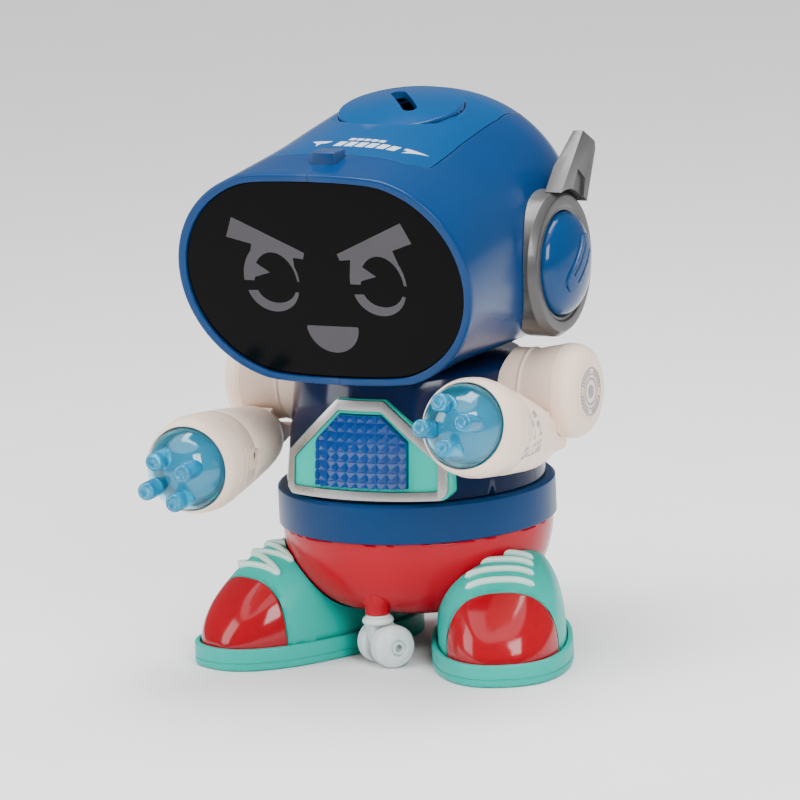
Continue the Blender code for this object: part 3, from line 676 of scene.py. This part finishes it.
def buildFin():
    # one upright fin behind the left ear, thinner at its top, with a recessed window whose floor carries a
    # near-black sheet of painted shade
    outline = softened([(-0.5, 184.3), (25.3, 207.5), (36.6, 201.1), (36.7, 197.8), (23.8, 173.7),
                        (12, 176)], 1.2, 4)
    ringRoom = turned([(0, 40), (ear["r"] + 0.3, 40), (ear["r"] + 0.3, 90), (0, 90)], "X",
                      (0, ear["y"], ear["z"]), 128)
    thinning = prism([(58, 195), (61.35, 195), (64.6, 208.5), (58, 208.5)], -50, 10, "-Y")
    window = softened([(18.9, 193.3), (25.3, 188.1), (22.1, 176.9), (10.9, 183.4)], 1.0, 3)
    cutPiece("antenna", prism(outline, ear["finLow"], ear["finHigh"], "X"),
             [ringRoom, headGrown, thinning, prism(window, 67.2, 75, "X")], "torso", "earGrey",
             ["antenna"], edge=(0.6,))
    # a near-black sheet on the floor of the window recess: painted shade
    cutPiece("antennaWindowShade", prism(window, 67.1, 67.35, "X"), [ringRoom], "torso", "paintedSlotShade")


for side, sign in (("Left", 1), ("Right", -1)):
    buildEar(side, sign)
buildFin()
print("stage: ears done")


# torso and waist

torso = {"beltLow": 52.6, "beltHigh": 68.6, "beltR": 56.0, "low": 52.3, "top": 46.2, "height": 119.0,
         "wall": 2.4,
         "split": 1.0, "shoulderZ": 106.5}


def torsoRadius(z):
    share = (z - torso["beltHigh"]) / (torso["height"] - torso["beltHigh"])
    return torso["low"] + (torso["top"] - torso["low"]) * share


def torsoShell():
    belt, top, wall = torso["beltHigh"], torso["height"], torso["wall"]
    outer = [(49.4, belt - 11.6), (49.4, belt + 0.4), (torso["low"], belt + 0.4)]
    outer += [(torsoRadius(z), z) for z in (75, 82, 90, 98, 106)]
    outer += [(torso["top"], top - 3), (torso["top"] - 0.6, top - 1.6), (torso["top"] - 1.8, top - 0.5),
              (torso["top"] - 3.4, top), (0, top)]
    inner = [(0, top - wall), (torso["top"] - 3.6, top - wall), (torso["low"] - 5.2, belt + 0.4),
             (47.0, belt - 11.6)]
    return turned(outer + inner, sides=144)


def shoulderHole(axis):
    return turned([(0, 30), (4.6, 30), (4.6, 60), (0, 60)], axis, (0, torso["split"], torso["shoulderZ"]),
                  48)


def buildTorso():
    form = torsoShell()
    neckHole = turned([(0, 112), (26, 112), (26, 124), (0, 124)])
    holes = [shoulderHole("X"), shoulderHole("-X"), neckHole]
    split, gap = torso["split"], 0.12
    doorway = block((-24, 20, 71), (24, 80, 113))
    for name, y0, y1, more in (("Front", -80, split - gap, []), ("Back", split + gap, 80, [doorway])):
        cutPiece("torso" + name, form, holes + more, "torso", "bodyBlue",
                 ["torso_" + name.lower()], like=form, within=[block((-80, y0, 40), (80, y1, 130))])
    screwHole = prism(arc(0, 0, 1.9, 1.9, 0, 348.75, 31), -70, -30, "-Y", (0, 0, 109))
    grips = [block((-9, 51.5, z), (9, 60, z + 1.2)) for z in (75, 77.6, 80.2)]
    cutPiece("batteryDoor", form, [screwHole] + grips, "torso", "bodyBlue", ["battery_door"],
             like=form, within=[block((-23.7, 20, 71.3), (23.7, 80, 112.7))])
    belt, high, r = torso["beltLow"], torso["beltHigh"], torso["beltR"]
    ring = [(49.7, belt + 4.4), (49.7, high), (r - 1.4, high), (r, high - 1.2), (r, belt), (52.4, belt),
            (52.4, belt + 4.4)]
    piece("waistRing", turned(filleted(ring, 0.7, 4), sides=160), "torso", "beltBlue",
          ["waist_ring"])
    neck = [(19.0, 114.6), (25.6, 114.6), (25.6, 119.7), (24.2, 119.7), (24.2, 124.2), (28.0, 124.2),
            (28.0, 126.2),
            (19.0, 126.2)]
    piece("neckCollar", turned(filleted(neck, 0.4, 3)), "torso", "bodyBlue", ["neck_collar"])


buildTorso()
print("stage: torso done")


# chest plate

chest = {"bow": 80.2, "frame": 82.0, "under": 80.5, "lens": 83.4, "lean": 0.12, "pitch": 4.4,
         "rows": 3.95, "peak": 1.35}
chestOutline = [(10.4, 110), (34.6, 87.3), (35.6, 72.4), (33, 69.8)]
chestFrame = [(10.2, 109.6), (34.2, 87.0), (35.0, 72.8), (32.6, 70.2)]
chestInner = [(9.4, 105.6), (31.4, 84.8), (31.6, 73.6)]
chestLens = [(8.8, 103.8), (19.7, 93.2), (19.8, 75.2)]


def bothSides(half):
    return half + [(-x, z) for x, z in reversed(half)]


def plate(half, radius, steps=5):
    return prism(softened(bothSides(half), radius, steps), 20, 70, "-Y")


def bowed(radius):
    lean = chest["lean"]
    return turned([(0, 60), (radius + 6 * lean, 60), (radius - 50 * lean, 116), (0, 116)], "Z",
                  (0, 27, 0), 240)


def bowedY(radius, x, z):
    here = radius + 6 * chest["lean"] - (z - 60) * chest["lean"]
    return 27 - sqrt(max(0.0, here * here - x * x))


def torsoSkin(grow):
    belt, top = torso["beltHigh"], torso["height"]
    return turned([(0, 50), (torso["low"] + grow, belt - 0.2), (torso["low"] + grow, belt + 0.4),
                   (torso["top"] + grow, top - 3), (torso["top"] + grow, 130), (0, 130)], sides=144)


def prismField():
    # a tray of small four-sided pyramids following the bow of the chest
    pitch, radius = chest["pitch"], chest["lens"]
    xs = [pitch * (k / 2 - 0.25) for k in range(-10, 12)]
    zs = [73.2 + chest["rows"] * k / 2 for k in range(0, 17)]
    points, faces = [], []
    for j, z in enumerate(zs):
        for i, x in enumerate(xs):
            out = chest["peak"] if i % 2 and j % 2 else 0.0
            points.append((x, bowedY(radius - 0.9, x, z) - out, z))
    wide, front = len(xs), len(points)
    for j, z in enumerate(zs):
        for x in xs:
            points.append((x, bowedY(77.5, x, z), z))
    for j in range(len(zs) - 1):
        for i in range(wide - 1):
            a, b, c, d = j * wide + i, j * wide + i + 1, (j + 1) * wide + i + 1, (j + 1) * wide + i
            if (i + j) % 2 == 0:
                faces += [[a, b, c], [a, c, d]]
            else:
                faces += [[a, b, d], [b, c, d]]
            faces += [[front + a, front + d, front + c], [front + a, front + c, front + b]]
    edge = [(0, i) for i in range(wide)] + [(j, wide - 1) for j in range(1, len(zs))]
    edge += [(len(zs) - 1, i) for i in range(wide - 2, -1, -1)] + [(j, 0) for j in range(len(zs) - 2, 0, -1)]
    around = [j * wide + i for j, i in edge]
    for one, two in zip(around, around[1:] + around[:1]):
        faces.append([one, front + one, front + two, two])
    return points, faces


def onChest(x, z, lift):
    return (x, bowedY(chest["under"], x, z) - lift, z)


def chestMark(name, outline, look):
    # a thin inlay lying on the floor of the frame
    fine = []
    for (x0, z0), (x1, z1) in zip(outline, outline[1:] + outline[:1]):
        fine += [(x0 + (x1 - x0) * k / 6, z0 + (z1 - z0) * k / 6) for k in range(6)]
    solid = lofted([[onChest(x, z, 0.12) for x, z in fine], [onChest(x, z, -0.2) for x, z in fine]])
    piece(name, solid, "torso", look, angle=30)


def buildChest():
    skin = torsoSkin(0.3)
    grown = [(x + 0.3, z + 0.3 if z > 90 else z - 0.3) for x, z in chestLens]
    lensRoom = prism(bothSides(grown), 20, 70, "-Y")
    cutPiece("chestBase", plate(chestOutline, 2.2), [skin, lensRoom], "torso", "plateGreen",
             ["chest_base"], 30, within=[bowed(chest["bow"])], edge=(0.5, 3, 50))
    cutPiece("chestFrame", plate(chestFrame, 2.0), [bowed(chest["under"]), plate(chestInner, 1.5)], "torso",
             "silver", ["chest_frame"], 40, within=[bowed(chest["frame"])], edge=(0.55, 4, 50))
    shrunk = [(x - 0.15, z + (0.1 if z < 80 else -0.15)) for x, z in chestInner]
    cutPiece("chestPanel", plate(shrunk, 1.4), [bowed(chest["bow"] + 0.05), lensRoom], "torso",
             "plateGreen", angle=30, within=[bowed(chest["under"] + 0.25)])
    cutPiece("chestLens", prismField(), [skin], "torso", "prisms", ["chest_lens"], 20,
             within=[plate(chestLens, 0.8, 4)])
    chestMark("chestMarkRight", [(-29.3, 77.4), (-22.4, 77.4), (-21.8, 81), (-24.6, 85.6), (-28.4, 85.4),
                                 (-29.6, 81.5)], "badgeBrown")
    for k in range(3):
        z = 75.2 + 3.2 * k
        chestMark("chestMarkLeft%d" % k, [(21.4 + k, z), (29.8 - 0.8 * k, z), (29.8 - 0.8 * k, z + 1.9),
                                          (21.4 + k, z + 1.9)], "paleBadge")


buildChest()
print("stage: chest done")


def decal(name, outline, ray, onto, body, look, lift=0.07, step=1.2):
    # a thin printed patch laid on a surface; ray gives start and direction for one point of the outline
    tree = BVHTree.FromPolygons([Vector(p) for p in onto[0]], onto[1])
    fine = []
    for (a0, b0), (a1, b1) in zip(outline, outline[1:] + outline[:1]):
        parts = max(1, int(sqrt((a1 - a0) ** 2 + (b1 - b0) ** 2) / step))
        fine += [(a0 + (a1 - a0) * k / parts, b0 + (b1 - b0) * k / parts) for k in range(parts)]
    outer, under = [], []
    for a, b in fine:
        start, way = ray(a, b)
        spot = tree.ray_cast(Vector(start), Vector(way))[0]
        outer.append(tuple(spot - Vector(way) * lift))
        under.append(tuple(spot + Vector(way) * 0.15))
    piece(name, lofted([outer, under]), body, look, angle=60)


def buildEmblem():
    # plain chevrons and bars across the brow of the lid
    def down(x, y):
        return (x, y, 260), (0, 0, -1)

    bars = [[(-4 + 4.6 * k, -46.5), (-0.6 + 4.6 * k, -46.5), (-1.8 + 4.6 * k, -51.5),
             (-5.2 + 4.6 * k, -51.5)]
            for k in range(6)]
    wings = [[(-16.5, -46.0), (-7.5, -46.4), (-9.5, -48.6), (-11.5, -48.6), (-12.5, -52.0), (-13.5, -48.8)],
             [(33.0, -44.6), (24.4, -46.0), (24.0, -48.2), (26.0, -48.2), (24.6, -51.6), (28.6, -48.0)]]
    small = [[(-1 + 3.2 * k, -42.4), (1.4 + 3.2 * k, -42.4), (0.8 + 3.2 * k, -44.6), (-1.6 + 3.2 * k, -44.6)]
             for k in range(5)]
    for k, outline in enumerate(bars + wings + small):
        decal("lidEmblem%d" % k, outline, down, headForm, "lid", "paleBadge")


buildEmblem()

# arms

arm = {"x": 61.5, "z": 86.0, "rear": -12.0, "shoulderY": 1.0, "shoulderZ": 106.5, "drum": 19.0,
       "drumIn": 54.3,
       "drumOut": 78.0, "raiseLeft": 16.0, "raiseRight": 0.0}


def pegSolid(x, y, z):
    profile = [(0, 78), (3.7, 78), (3.7, 90.2), (3.5, 91.0), (2.9, 91.45), (2.2, 91.5), (1.7, 91.0),
               (0, 90.8)]
    return turned(profile, "-Y", (x, y, z), 32)


def buildArm(side, sign):
    axis = "X" if sign > 0 else "-X"
    raised = arm["raiseLeft"] if sign > 0 else arm["raiseRight"]
    swing = raisedAboutX(raised, arm["shoulderY"], arm["shoulderZ"])
    centre, line = (0, arm["shoulderY"], arm["shoulderZ"]), (sign * arm["x"], arm["rear"], arm["z"])
    low, body, r = side.lower(), "arm_" + side.lower(), arm["drum"]

    def spun(profile, sides=96, way="-Y", origin=line):
        return moved(turned(profile, way, origin, sides), swing)

    drum = [(0, 37), (7.5, 37), (7.5, 39.5), (4.0, 39.5), (4.0, arm["drumIn"]), (r, arm["drumIn"]),
            (r, 68.4),
            (0, 68.4)]
    drum = filleted(drum[:6], 1.8, 4) + drum[6:]
    piece("shoulderDrum" + side, spun(drum, 128, axis, centre), body,
          "cream", ["shoulder_drum_" + low])
    cap = [(0, 68.5), (r, 68.5), (r, 70.2)] + arc(r - 6.0, 70.2, 6.0, 7.3, 10, 80, 7)
    cap += [(13.0, 77.5), (11.0, 77.75), (10.6, 77.6), (10.2, 77.8), (6.0, 77.95), (0, 78.0)]
    piece("shoulderCap" + side, spun(cap, 128, axis, centre), body,
          "cream", ["shoulder_cap_" + low])
    collar = filleted([(4.6, 38), (16.6, 38), (16.6, 54.0), (4.6, 54.0)], 0.6, 3)
    cutPiece("shoulderCollar" + side, turned(collar, axis, centre), [torsoSkin(0.3)], "torso",
             "cream",
             ["shoulder_collar_" + low])

    outer = [(0, 0), (4.5, 0.2), (7.5, 1.2), (10.2, 3.6), (12.2, 7), (13.4, 11.5), (14.6, 18), (17.2, 36),
             (17.85, 42.2),
             (17.6, 43.0), (17.6, 43.5), (18.2, 44.3), (19.5, 55)]
    shell = outer + [(17.6, 55), (14.9, 36), (12.3, 18), (9.5, 8.5), (0, 6)]
    form = spun(shell, 128)
    forearm = objectOf("forearmShell" + side, form)
    web = softened([(-27, 92), (-16.5, 97), (-5, 100), (4, 90), (3, 84), (-12, 80), (-22, 84)], 3.0, 4)
    carve(forearm, [moved(prism(web, arm["x"] - 6.5, arm["x"] + 6.5, axis), swing)], "UNION")
    room = spun([(0, 7), (8.9, 9.4), (11.9, 18), (14.5, 36), (17.2, 56), (0, 56)])
    deep, rim = arm["x"] - 24, arm["x"] - 15.5
    screw = spun([(0, deep), (3.7, deep), (3.7, rim), (0, rim)], 48, axis, (0, -56, arm["z"]))
    drumRoom = turned([(0, 50), (r + 0.3, 50), (r + 0.3, 80), (0, 80)], axis, centre, 128)
    carve(forearm, [drumRoom, room, screw])
    shade(forearm, 35)
    finish(forearm, body, "cream", ["forearm_shell_" + low])
    rim = [(17.6, 55.3), (19.5, 55.3), (19.8, 60), (19.2, 66), (17.8, 70.2), (17.0, 70.2), (17.0, 62),
           (15.6, 62),
           (15.6, 55.3)]
    piece("forearmRim" + side, spun(filleted(rim, 0.8, 4), 128), body,
          "cream", ["forearm_rim_" + low])
    skin = [(16.6, 62.4), (16.6, 68.5)] + arc(0, 68.5, 16.6, 15.5, 6, 84, 13) + [(0, 84.0), (0, 82.4)]
    skin += arc(0, 68.5, 15.1, 13.9, 84, 6, 13) + [(15.1, 62.4)]
    piece("armLens" + side, spun(skin), body, "lens",
          ["arm_lens_" + low], angle=45)
    lensBack = [(0, 60), (16.5, 60), (16.6, 68.5)] + arc(0, 68.55, 16.6, 15.5, 6, 84, 13) + [(0, 84.05)]
    for k in range(4):
        a = radians((10 if sign > 0 else 26) + 90 * k)
        spot = (line[0] + 9 * cos(a), line[1], line[2] - 1.3 + 9 * sin(a))
        cutPiece("handPeg%s%d" % (side, k), moved(pegSolid(*spot), swing), [spun(lensBack)], body,
                 "pegs", angle=40)
    if sign > 0:
        def sideways(y, z):
            return (90, y, z), (-1, 0, 0)

        marks = [[(-60, 109.5), (-57.4, 109.5), (-55.8, 99.5), (-58.4, 99.5)],
                 [(-55.4, 109.5), (-49.6, 109.5), (-49.3, 107.2), (-55.0, 107.2)],
                 [(-53.6, 105.4), (-49.0, 105.4), (-48.4, 99.5), (-50.8, 99.5), (-51.2, 103.2),
                  (-53.2, 103.2)]]
        marks += [[(-66 + 3.1 * k, 97.6), (-63.8 + 3.1 * k, 97.6), (-63.2 + 3.1 * k, 92.6),
                   (-65.4 + 3.1 * k, 92.6)]
                  for k in range(6)]
        for k, outline in enumerate(marks):
            decal("forearmMark%d" % k, outline, sideways, form, body, "print")
    # a plate behind the clear dome
    disk = [(0, 60.5), (15.0, 60.5), (15.0, 63.5), (13.0, 66.0), (0, 66.0)]
    piece("handPlate" + side, spun(filleted(disk, 0.6, 3)), body,
          "handPlate")
    return swing, axis, centre, line


def drumRing(name, inner, outer, high, swing, axis, centre, body):
    profile = [(inner, high - 0.1), (outer, high - 0.1), (outer, high + 0.08), (inner, high + 0.08)]
    piece(name, moved(turned(profile, axis, centre, 128), swing), body, "print")


for side, sign in (("Left", 1), ("Right", -1)):
    swing, axis, centre, line = buildArm(side, sign)
    body = "arm_" + side.lower()
    for name, near, far, high in (("capRingOuter", 9.2, 9.7, 77.95), ("capRingMiddle", 6.6, 7.1, 78.0),
                                  ("capRingInner", 4.7, 5.6, 78.0), ("capDot", 0.0, 2.7, 78.0)):
        drumRing(name + side, near, far, high, swing, axis, centre, body)
    for k in range(36):
        if k % 9 in (0, 1):
            continue
        a = 2 * pi * k / 36
        tick = [(7.6 * cos(a + t), 7.6 * sin(a + t)) for t in (-0.05, 0.05)]
        tick += [(8.8 * cos(a + t), 8.8 * sin(a + t)) for t in (0.05, -0.05)]
        piece("capTick%s%d" % (side, k), moved(prism(tick, 77.9, 78.08, axis, centre), swing), body,
              "print")
print("stage: arms done")


# hips, caster and switch

hip = {"casterY": -42.0, "turn": -38.0, "axleBack": 3.0, "axleZ": 8.6}
bowlOutside = [(54.6, 52.3), (53.8, 44.5), (50.6, 34.5), (44.0, 26.0), (34, 20), (20, 16.6), (0, 16.2)]


def curved(outline, parts=4):
    # the same outline with its long runs rounded off by a smooth curve through the points
    fine = []
    for i in range(len(outline) - 1):
        p0, p1 = Vector(outline[max(0, i - 1)]), Vector(outline[i])
        p2, p3 = Vector(outline[i + 1]), Vector(outline[min(len(outline) - 1, i + 2)])
        for k in range(parts):
            t = k / parts
            fine.append(tuple(0.5 * (2 * p1 + (p2 - p0) * t + (2 * p0 - 5 * p1 + 4 * p2 - p3) * t * t
                                     + (3 * p1 - p0 - 3 * p2 + p3) * t ** 3)))
    return fine + [outline[-1]]


def buildHips():
    inner = [(0, 18.6), (19.5, 19.0), (33, 22.4), (42.2, 28.0), (48.4, 36), (51.4, 45), (52.0, 52.3)]
    form = turned(curved(bowlOutside) + inner, sides=144)
    bowl = objectOf("hipBowl", form)
    at = (0, hip["casterY"], 0)
    post = [(0, 21.4), (5.0, 21.4), (5.0, 25.6), (5.8, 25.6), (5.8, 43), (0, 43)]
    carve(bowl, [turned(filleted(post, 0.3, 2), "Z", at, 64)], "UNION")
    bore = turned([(0, 10), (3.3, 10), (3.3, 50), (0, 50)], "Z", at, 48)
    carve(bowl, [bore, block((-5, 7.6, 10), (5, 12.4, 22))])
    shade(bowl, 35, form)
    finish(bowl, "hips", "red", ["hip_bowl"])


def buildCaster():
    turn = turnedAboutZ(hip["turn"], 0, hip["casterY"])
    profile = [(0, 17.6), (6.0, 17.6), (6.4, 18.6), (5.9, 19.8), (4.9, 20.2), (4.9, 21.1), (3.0, 21.1),
               (3.0, 42.4),
               (0, 42.4)]
    fork = objectOf("casterFork", moved(turned(filleted(profile, 0.35, 3), "Z", (0, hip["casterY"], 0),
                                               96), turn))
    side = softened([(-5.0, 18.2), (5.0, 18.2), (8.6, 12), (8.6, 6), (5.5, 3.6), (1.0, 4.4), (-3.4, 10)],
                    1.5, 4)
    carve(fork, [moved(prism([(hip["casterY"] + y, z) for y, z in side], -2.4, 2.4, "X"), turn)], "UNION")
    at = (0, hip["casterY"] + hip["axleBack"], hip["axleZ"])
    axle = turned([(0, -10), (1.6, -10), (1.6, 10), (0, 10)], "X", at, 48)
    carve(fork, [moved(axle, turn)])
    shade(fork, 35)
    finish(fork, "caster", "milky", ["caster_fork"])
    pin = filleted([(0, -10.2), (1.25, -10.2), (1.25, 10.2), (0, 10.2)], 0.3, 2)
    piece("casterAxle", moved(turned(pin, "X", at, 48), turn), "caster", "steel",
          ["caster_axle"])
    wheel = [(1.6, 2.8), (8.6, 2.8), (8.6, 8.2), (7.4, 10.2), (4.6, 11.4), (3.4, 11.4), (3.2, 10.4),
             (2.6, 10.4),
             (2.4, 12.0), (1.6, 12.0)]
    for name, axis in (("Left", "X"), ("Right", "-X")):
        piece("casterWheel" + name, moved(turned(filleted(wheel, 0.9, 4), axis, at, 96), turn),
              "wheel_" + name.lower(), "milky", ["caster_wheel_" + name.lower()])


buildHips()
buildCaster()
print("stage: hips and caster done")


# shoes

shoe = {"x": 42.7, "y": -17.0, "splay": 24.8, "long": 53.0, "wide": 28.4, "high": 9.1, "capBack": 30.0,
        "longPower": 2.4, "arch": 0.75}
shoeTop = ((-49.8, 24), (-48.6, 33), (-44, 38), (-34, 41), (-18, 44), (0, 45), (12, 43), (21, 39),
           (30, 33.5),
           (38, 27.5), (44, 21), (48.2, 14.5), (49.7, 10))


def soleOutline(grow, count=144):
    power = shoe["longPower"]
    outline = []
    for k in range(count):
        c, s = cos(2 * pi * k / count), sin(2 * pi * k / count)
        outline.append(((shoe["wide"] + grow) * copysign(abs(c) ** (2 / power), c),
                        -(shoe["long"] + grow) * copysign(abs(s) ** (2 / power), s)))
    return outline


def shoeHalf(along, grow):
    return (shoe["wide"] - 2.6) * max(0.0, 1 - abs(along / 50.2) ** 2.4) ** (1 / 2.4) + grow


def shoeSection(along, grow=0.0, count=48):
    half, height, low, ring = shoeHalf(along, grow), eased(shoeTop, along, 1), 6.9, []
    for k in range(count + 1):
        c, s = cos(pi * k / count), sin(pi * k / count)
        ring.append((half * copysign(abs(c) ** shoe["arch"], c), -along,
                     low + (height + grow - low) * abs(s) ** shoe["arch"]))
    return ring


def onShoe(along, across, lift=0.0):
    # a point on the upper at a place along and across the shoe
    half, height, low = shoeHalf(along, 0.0), eased(shoeTop, along, 1), 6.9
    c = min(1.0, abs(across) / half) ** (1 / shoe["arch"])
    s = sqrt(max(0.0, 1 - c * c))
    return (across * (1 + lift / half), -along, low + (height + lift - low) * s ** shoe["arch"])


def buildShoe(side, sign):
    def stand(p):
        x, y, z = turnedAboutZ(shoe["splay"], 0, 0)(p)
        return (sign * (shoe["x"] + x), shoe["y"] + y, z)

    high, low = shoe["high"], side.lower()
    levels = ((-1.2, 0), (-0.5, 0.3), (-0.1, 0.8), (0, 1.4), (0, 2.6), (-0.35, 2.9), (-0.35, 3.3), (0, 3.6),
              (0, high - 0.9), (-0.15, high - 0.4), (-0.5, high - 0.1), (-0.9, high), (-1.6, high),
              (-2.0, high - 0.15), (-2.25, high - 0.6), (-2.3, 6.6))
    rings = [[(x, y, z) for x, y in soleOutline(grow)] for grow, z in levels]
    piece("shoeSole" + side, moved(lofted(rings), stand), "hips", "shoeGreen",
          ["shoe_sole_" + low])
    bowlRoom = turned([(r + 0.5, z - 0.4) for r, z in curved(bowlOutside)[:-1]] + [(0, 15.8), (0, 60),
                                                                                   (55.1, 60)],
                      sides=144)
    behind = [shoeSection(-49.8 + (79.5 * k / 44)) for k in range(45)]
    form = moved(lofted(behind), stand)
    cutPiece("shoeUpper" + side, form, [bowlRoom, block((-7, -80, 0), (7, 80, 60))], "hips",
             "shoeGreen", ["shoe_upper_" + low], 40, form)
    ahead = [shoeSection(30.0, -0.5), shoeSection(30.15, -0.15)]
    ahead += [shoeSection(30.5 + 19.2 * k / 30) for k in range(31)]
    piece("shoeToeCap" + side, moved(lofted(ahead), stand), "hips", "capRed",
          ["shoe_toe_cap_" + low], angle=50)
    for k, solid in enumerate(laceSolids(side)):
        cutPiece("shoeLace%s%d" % (side, k), moved(solid, stand), [bowlRoom], "hips", "lace",
                 ["shoe_laces_" + low] if k == 0 else [], 50)


def laceSolids(side):
    if side == "Left":
        rows = (24.5, 18.8, 13.2, 7.8)
        return [tube([onShoe(along + 0.0012 * x * x, x,
                             0.35) for x in [-13.5 + 27 * k / 22 for k in range(23)]],
                     1.45, 14, endRound) for along in rows]
    turns = [(24.5, 13), (24.5, -12), (17.5, 13), (17.0, -12), (10.5, 13), (9.5, -12)]
    cords = []
    for (a0, x0), (a1, x1) in zip(turns, turns[1:]):
        run = [(a0 + (a1 - a0) * k / 20, x0 + (x1 - x0) * k / 20) for k in range(21)]
        cords.append(tube([onShoe(a, x, 0.35) for a, x in run], 1.35, 14, endRound))
    for a, x in ((20.5, 15.5), (12.5, 16.0)):
        spot = onShoe(a, x, 0.0)
        cords.append(turned(filleted([(0, -0.6), (2.4, -0.6), (2.4, 1.2), (0, 1.5)], 0.7, 3), "Z", spot, 48))
    return cords


def endRound(t):
    return min(1.0, sqrt(max(0.06, 1 - (1 - min(t, 1 - t) * 16) ** 2))) if min(t, 1 - t) < 1 / 16 else 1.0


for side, sign in (("Left", 1), ("Right", -1)):
    buildShoe(side, sign)
print("stage: shoes done")


# parts seen only through gaps keep their CAD shape and get a finish

inner = {"aa_cell_1": "jacket", "aa_cell_2": "jacket", "aa_cell_3": "jacket", "battery_tray": "nylon",
         "battery_door_screw": "steel", "circuit_board": "board", "hip_plate": "red",
         "motor_pinion": "nylon", "waist_gear": "nylon", "waist_motor": "steel", "speaker": "black",
         "torso_floor": "bodyBlue", "power_switch": "black"}
for name, look in inner.items():
    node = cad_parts[name]
    node.data.materials.clear()
    node.data.materials.append(finishes[look])
left = [name for name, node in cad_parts.items() if not node.hide_render and name not in inner]
print("stage: inner parts finished, still plain:", left)


# studio

def areaLight(name, spot, target, size, power, colour=(1, 1, 1), tall=None):
    light = bpy.data.lights.new(name, "AREA")
    light.energy, light.color = power, colour
    light.shape = "RECTANGLE"
    light.size, light.size_y = size, tall or size
    obj = bpy.data.objects.new(name, light)
    obj.location = spot
    obj.rotation_euler = (Vector(target) - Vector(spot)).to_track_quat("-Z", "Y").to_euler()
    bpy.context.collection.objects.link(obj)
    return obj


studio = {"floor": (0.86, 0.86, 0.87), "sky": 0.3, "key": 13.0, "fill": 7.0, "top": 14.0, "sun": 2.6}


def buildStudio():
    mesh = bpy.data.meshes.new("floor")
    mesh.from_pydata([(-6, -6, 0), (6, -6, 0), (6, 6, 0), (-6, 6, 0)], [], [(0, 1, 2, 3)])
    floor = bpy.data.objects.new("floor", mesh)
    bpy.context.collection.objects.link(floor)
    mesh.materials.append(moulded("paper", studio["floor"], 0.75, tint=0.01, grain=0.01))
    world = bpy.data.worlds.new("studio")
    world.use_nodes = True
    setInputs(world.node_tree.nodes["Background"], {"Color": (1, 1, 1, 1), "Strength": studio["sky"]})
    bpy.context.scene.world = world
    middle = (0, 0.0, 0.12)
    areaLight("keyBox", (0.75, -0.75, 0.75), middle, 0.45, studio["key"], tall=0.6)
    areaLight("fillBox", (-0.85, -0.65, 0.45), middle, 0.5, studio["fill"], tall=0.7)
    sun = bpy.data.lights.new("overhead", "SUN")
    sun.energy, sun.angle = studio["sun"], radians(70)
    sunObj = bpy.data.objects.new("overhead", sun)
    sunObj.rotation_euler = (radians(8), radians(-6), 0)
    bpy.context.collection.objects.link(sunObj)
    areaLight("topBox", (0.0, 0.15, 1.1), middle, 0.7, studio["top"])


cameraPlace = {"around": 25.529, "above": 11.652, "roll": 2.708, "x": 1.352553, "y": -2.844016,
               "z": 0.749367, "lens": 360, "sensor": 36, "near": 0.5, "far": 20}


def buildCamera():
    a, e, r = [radians(cameraPlace[name]) for name in ("around", "above", "roll")]
    back = Vector((sin(a) * cos(e), -cos(a) * cos(e), sin(e)))
    right = Vector((cos(a), sin(a), 0))
    up = back.cross(right)
    side = right * cos(r) - up * sin(r)
    high = right * sin(r) + up * cos(r)
    lens = bpy.data.cameras.new("camera")
    lens.lens, lens.sensor_width = cameraPlace["lens"], cameraPlace["sensor"]
    lens.clip_start, lens.clip_end = cameraPlace["near"], cameraPlace["far"]
    camera = bpy.data.objects.new("camera", lens)
    turn = Matrix((side, high, back)).transposed().to_4x4()
    spot = (cameraPlace["x"], cameraPlace["y"] + waistY, cameraPlace["z"])
    camera.matrix_world = Matrix.Translation(spot) @ turn
    bpy.context.collection.objects.link(camera)
    bpy.context.scene.camera = camera


buildStudio()
buildCamera()
print("stage: studio and camera set")
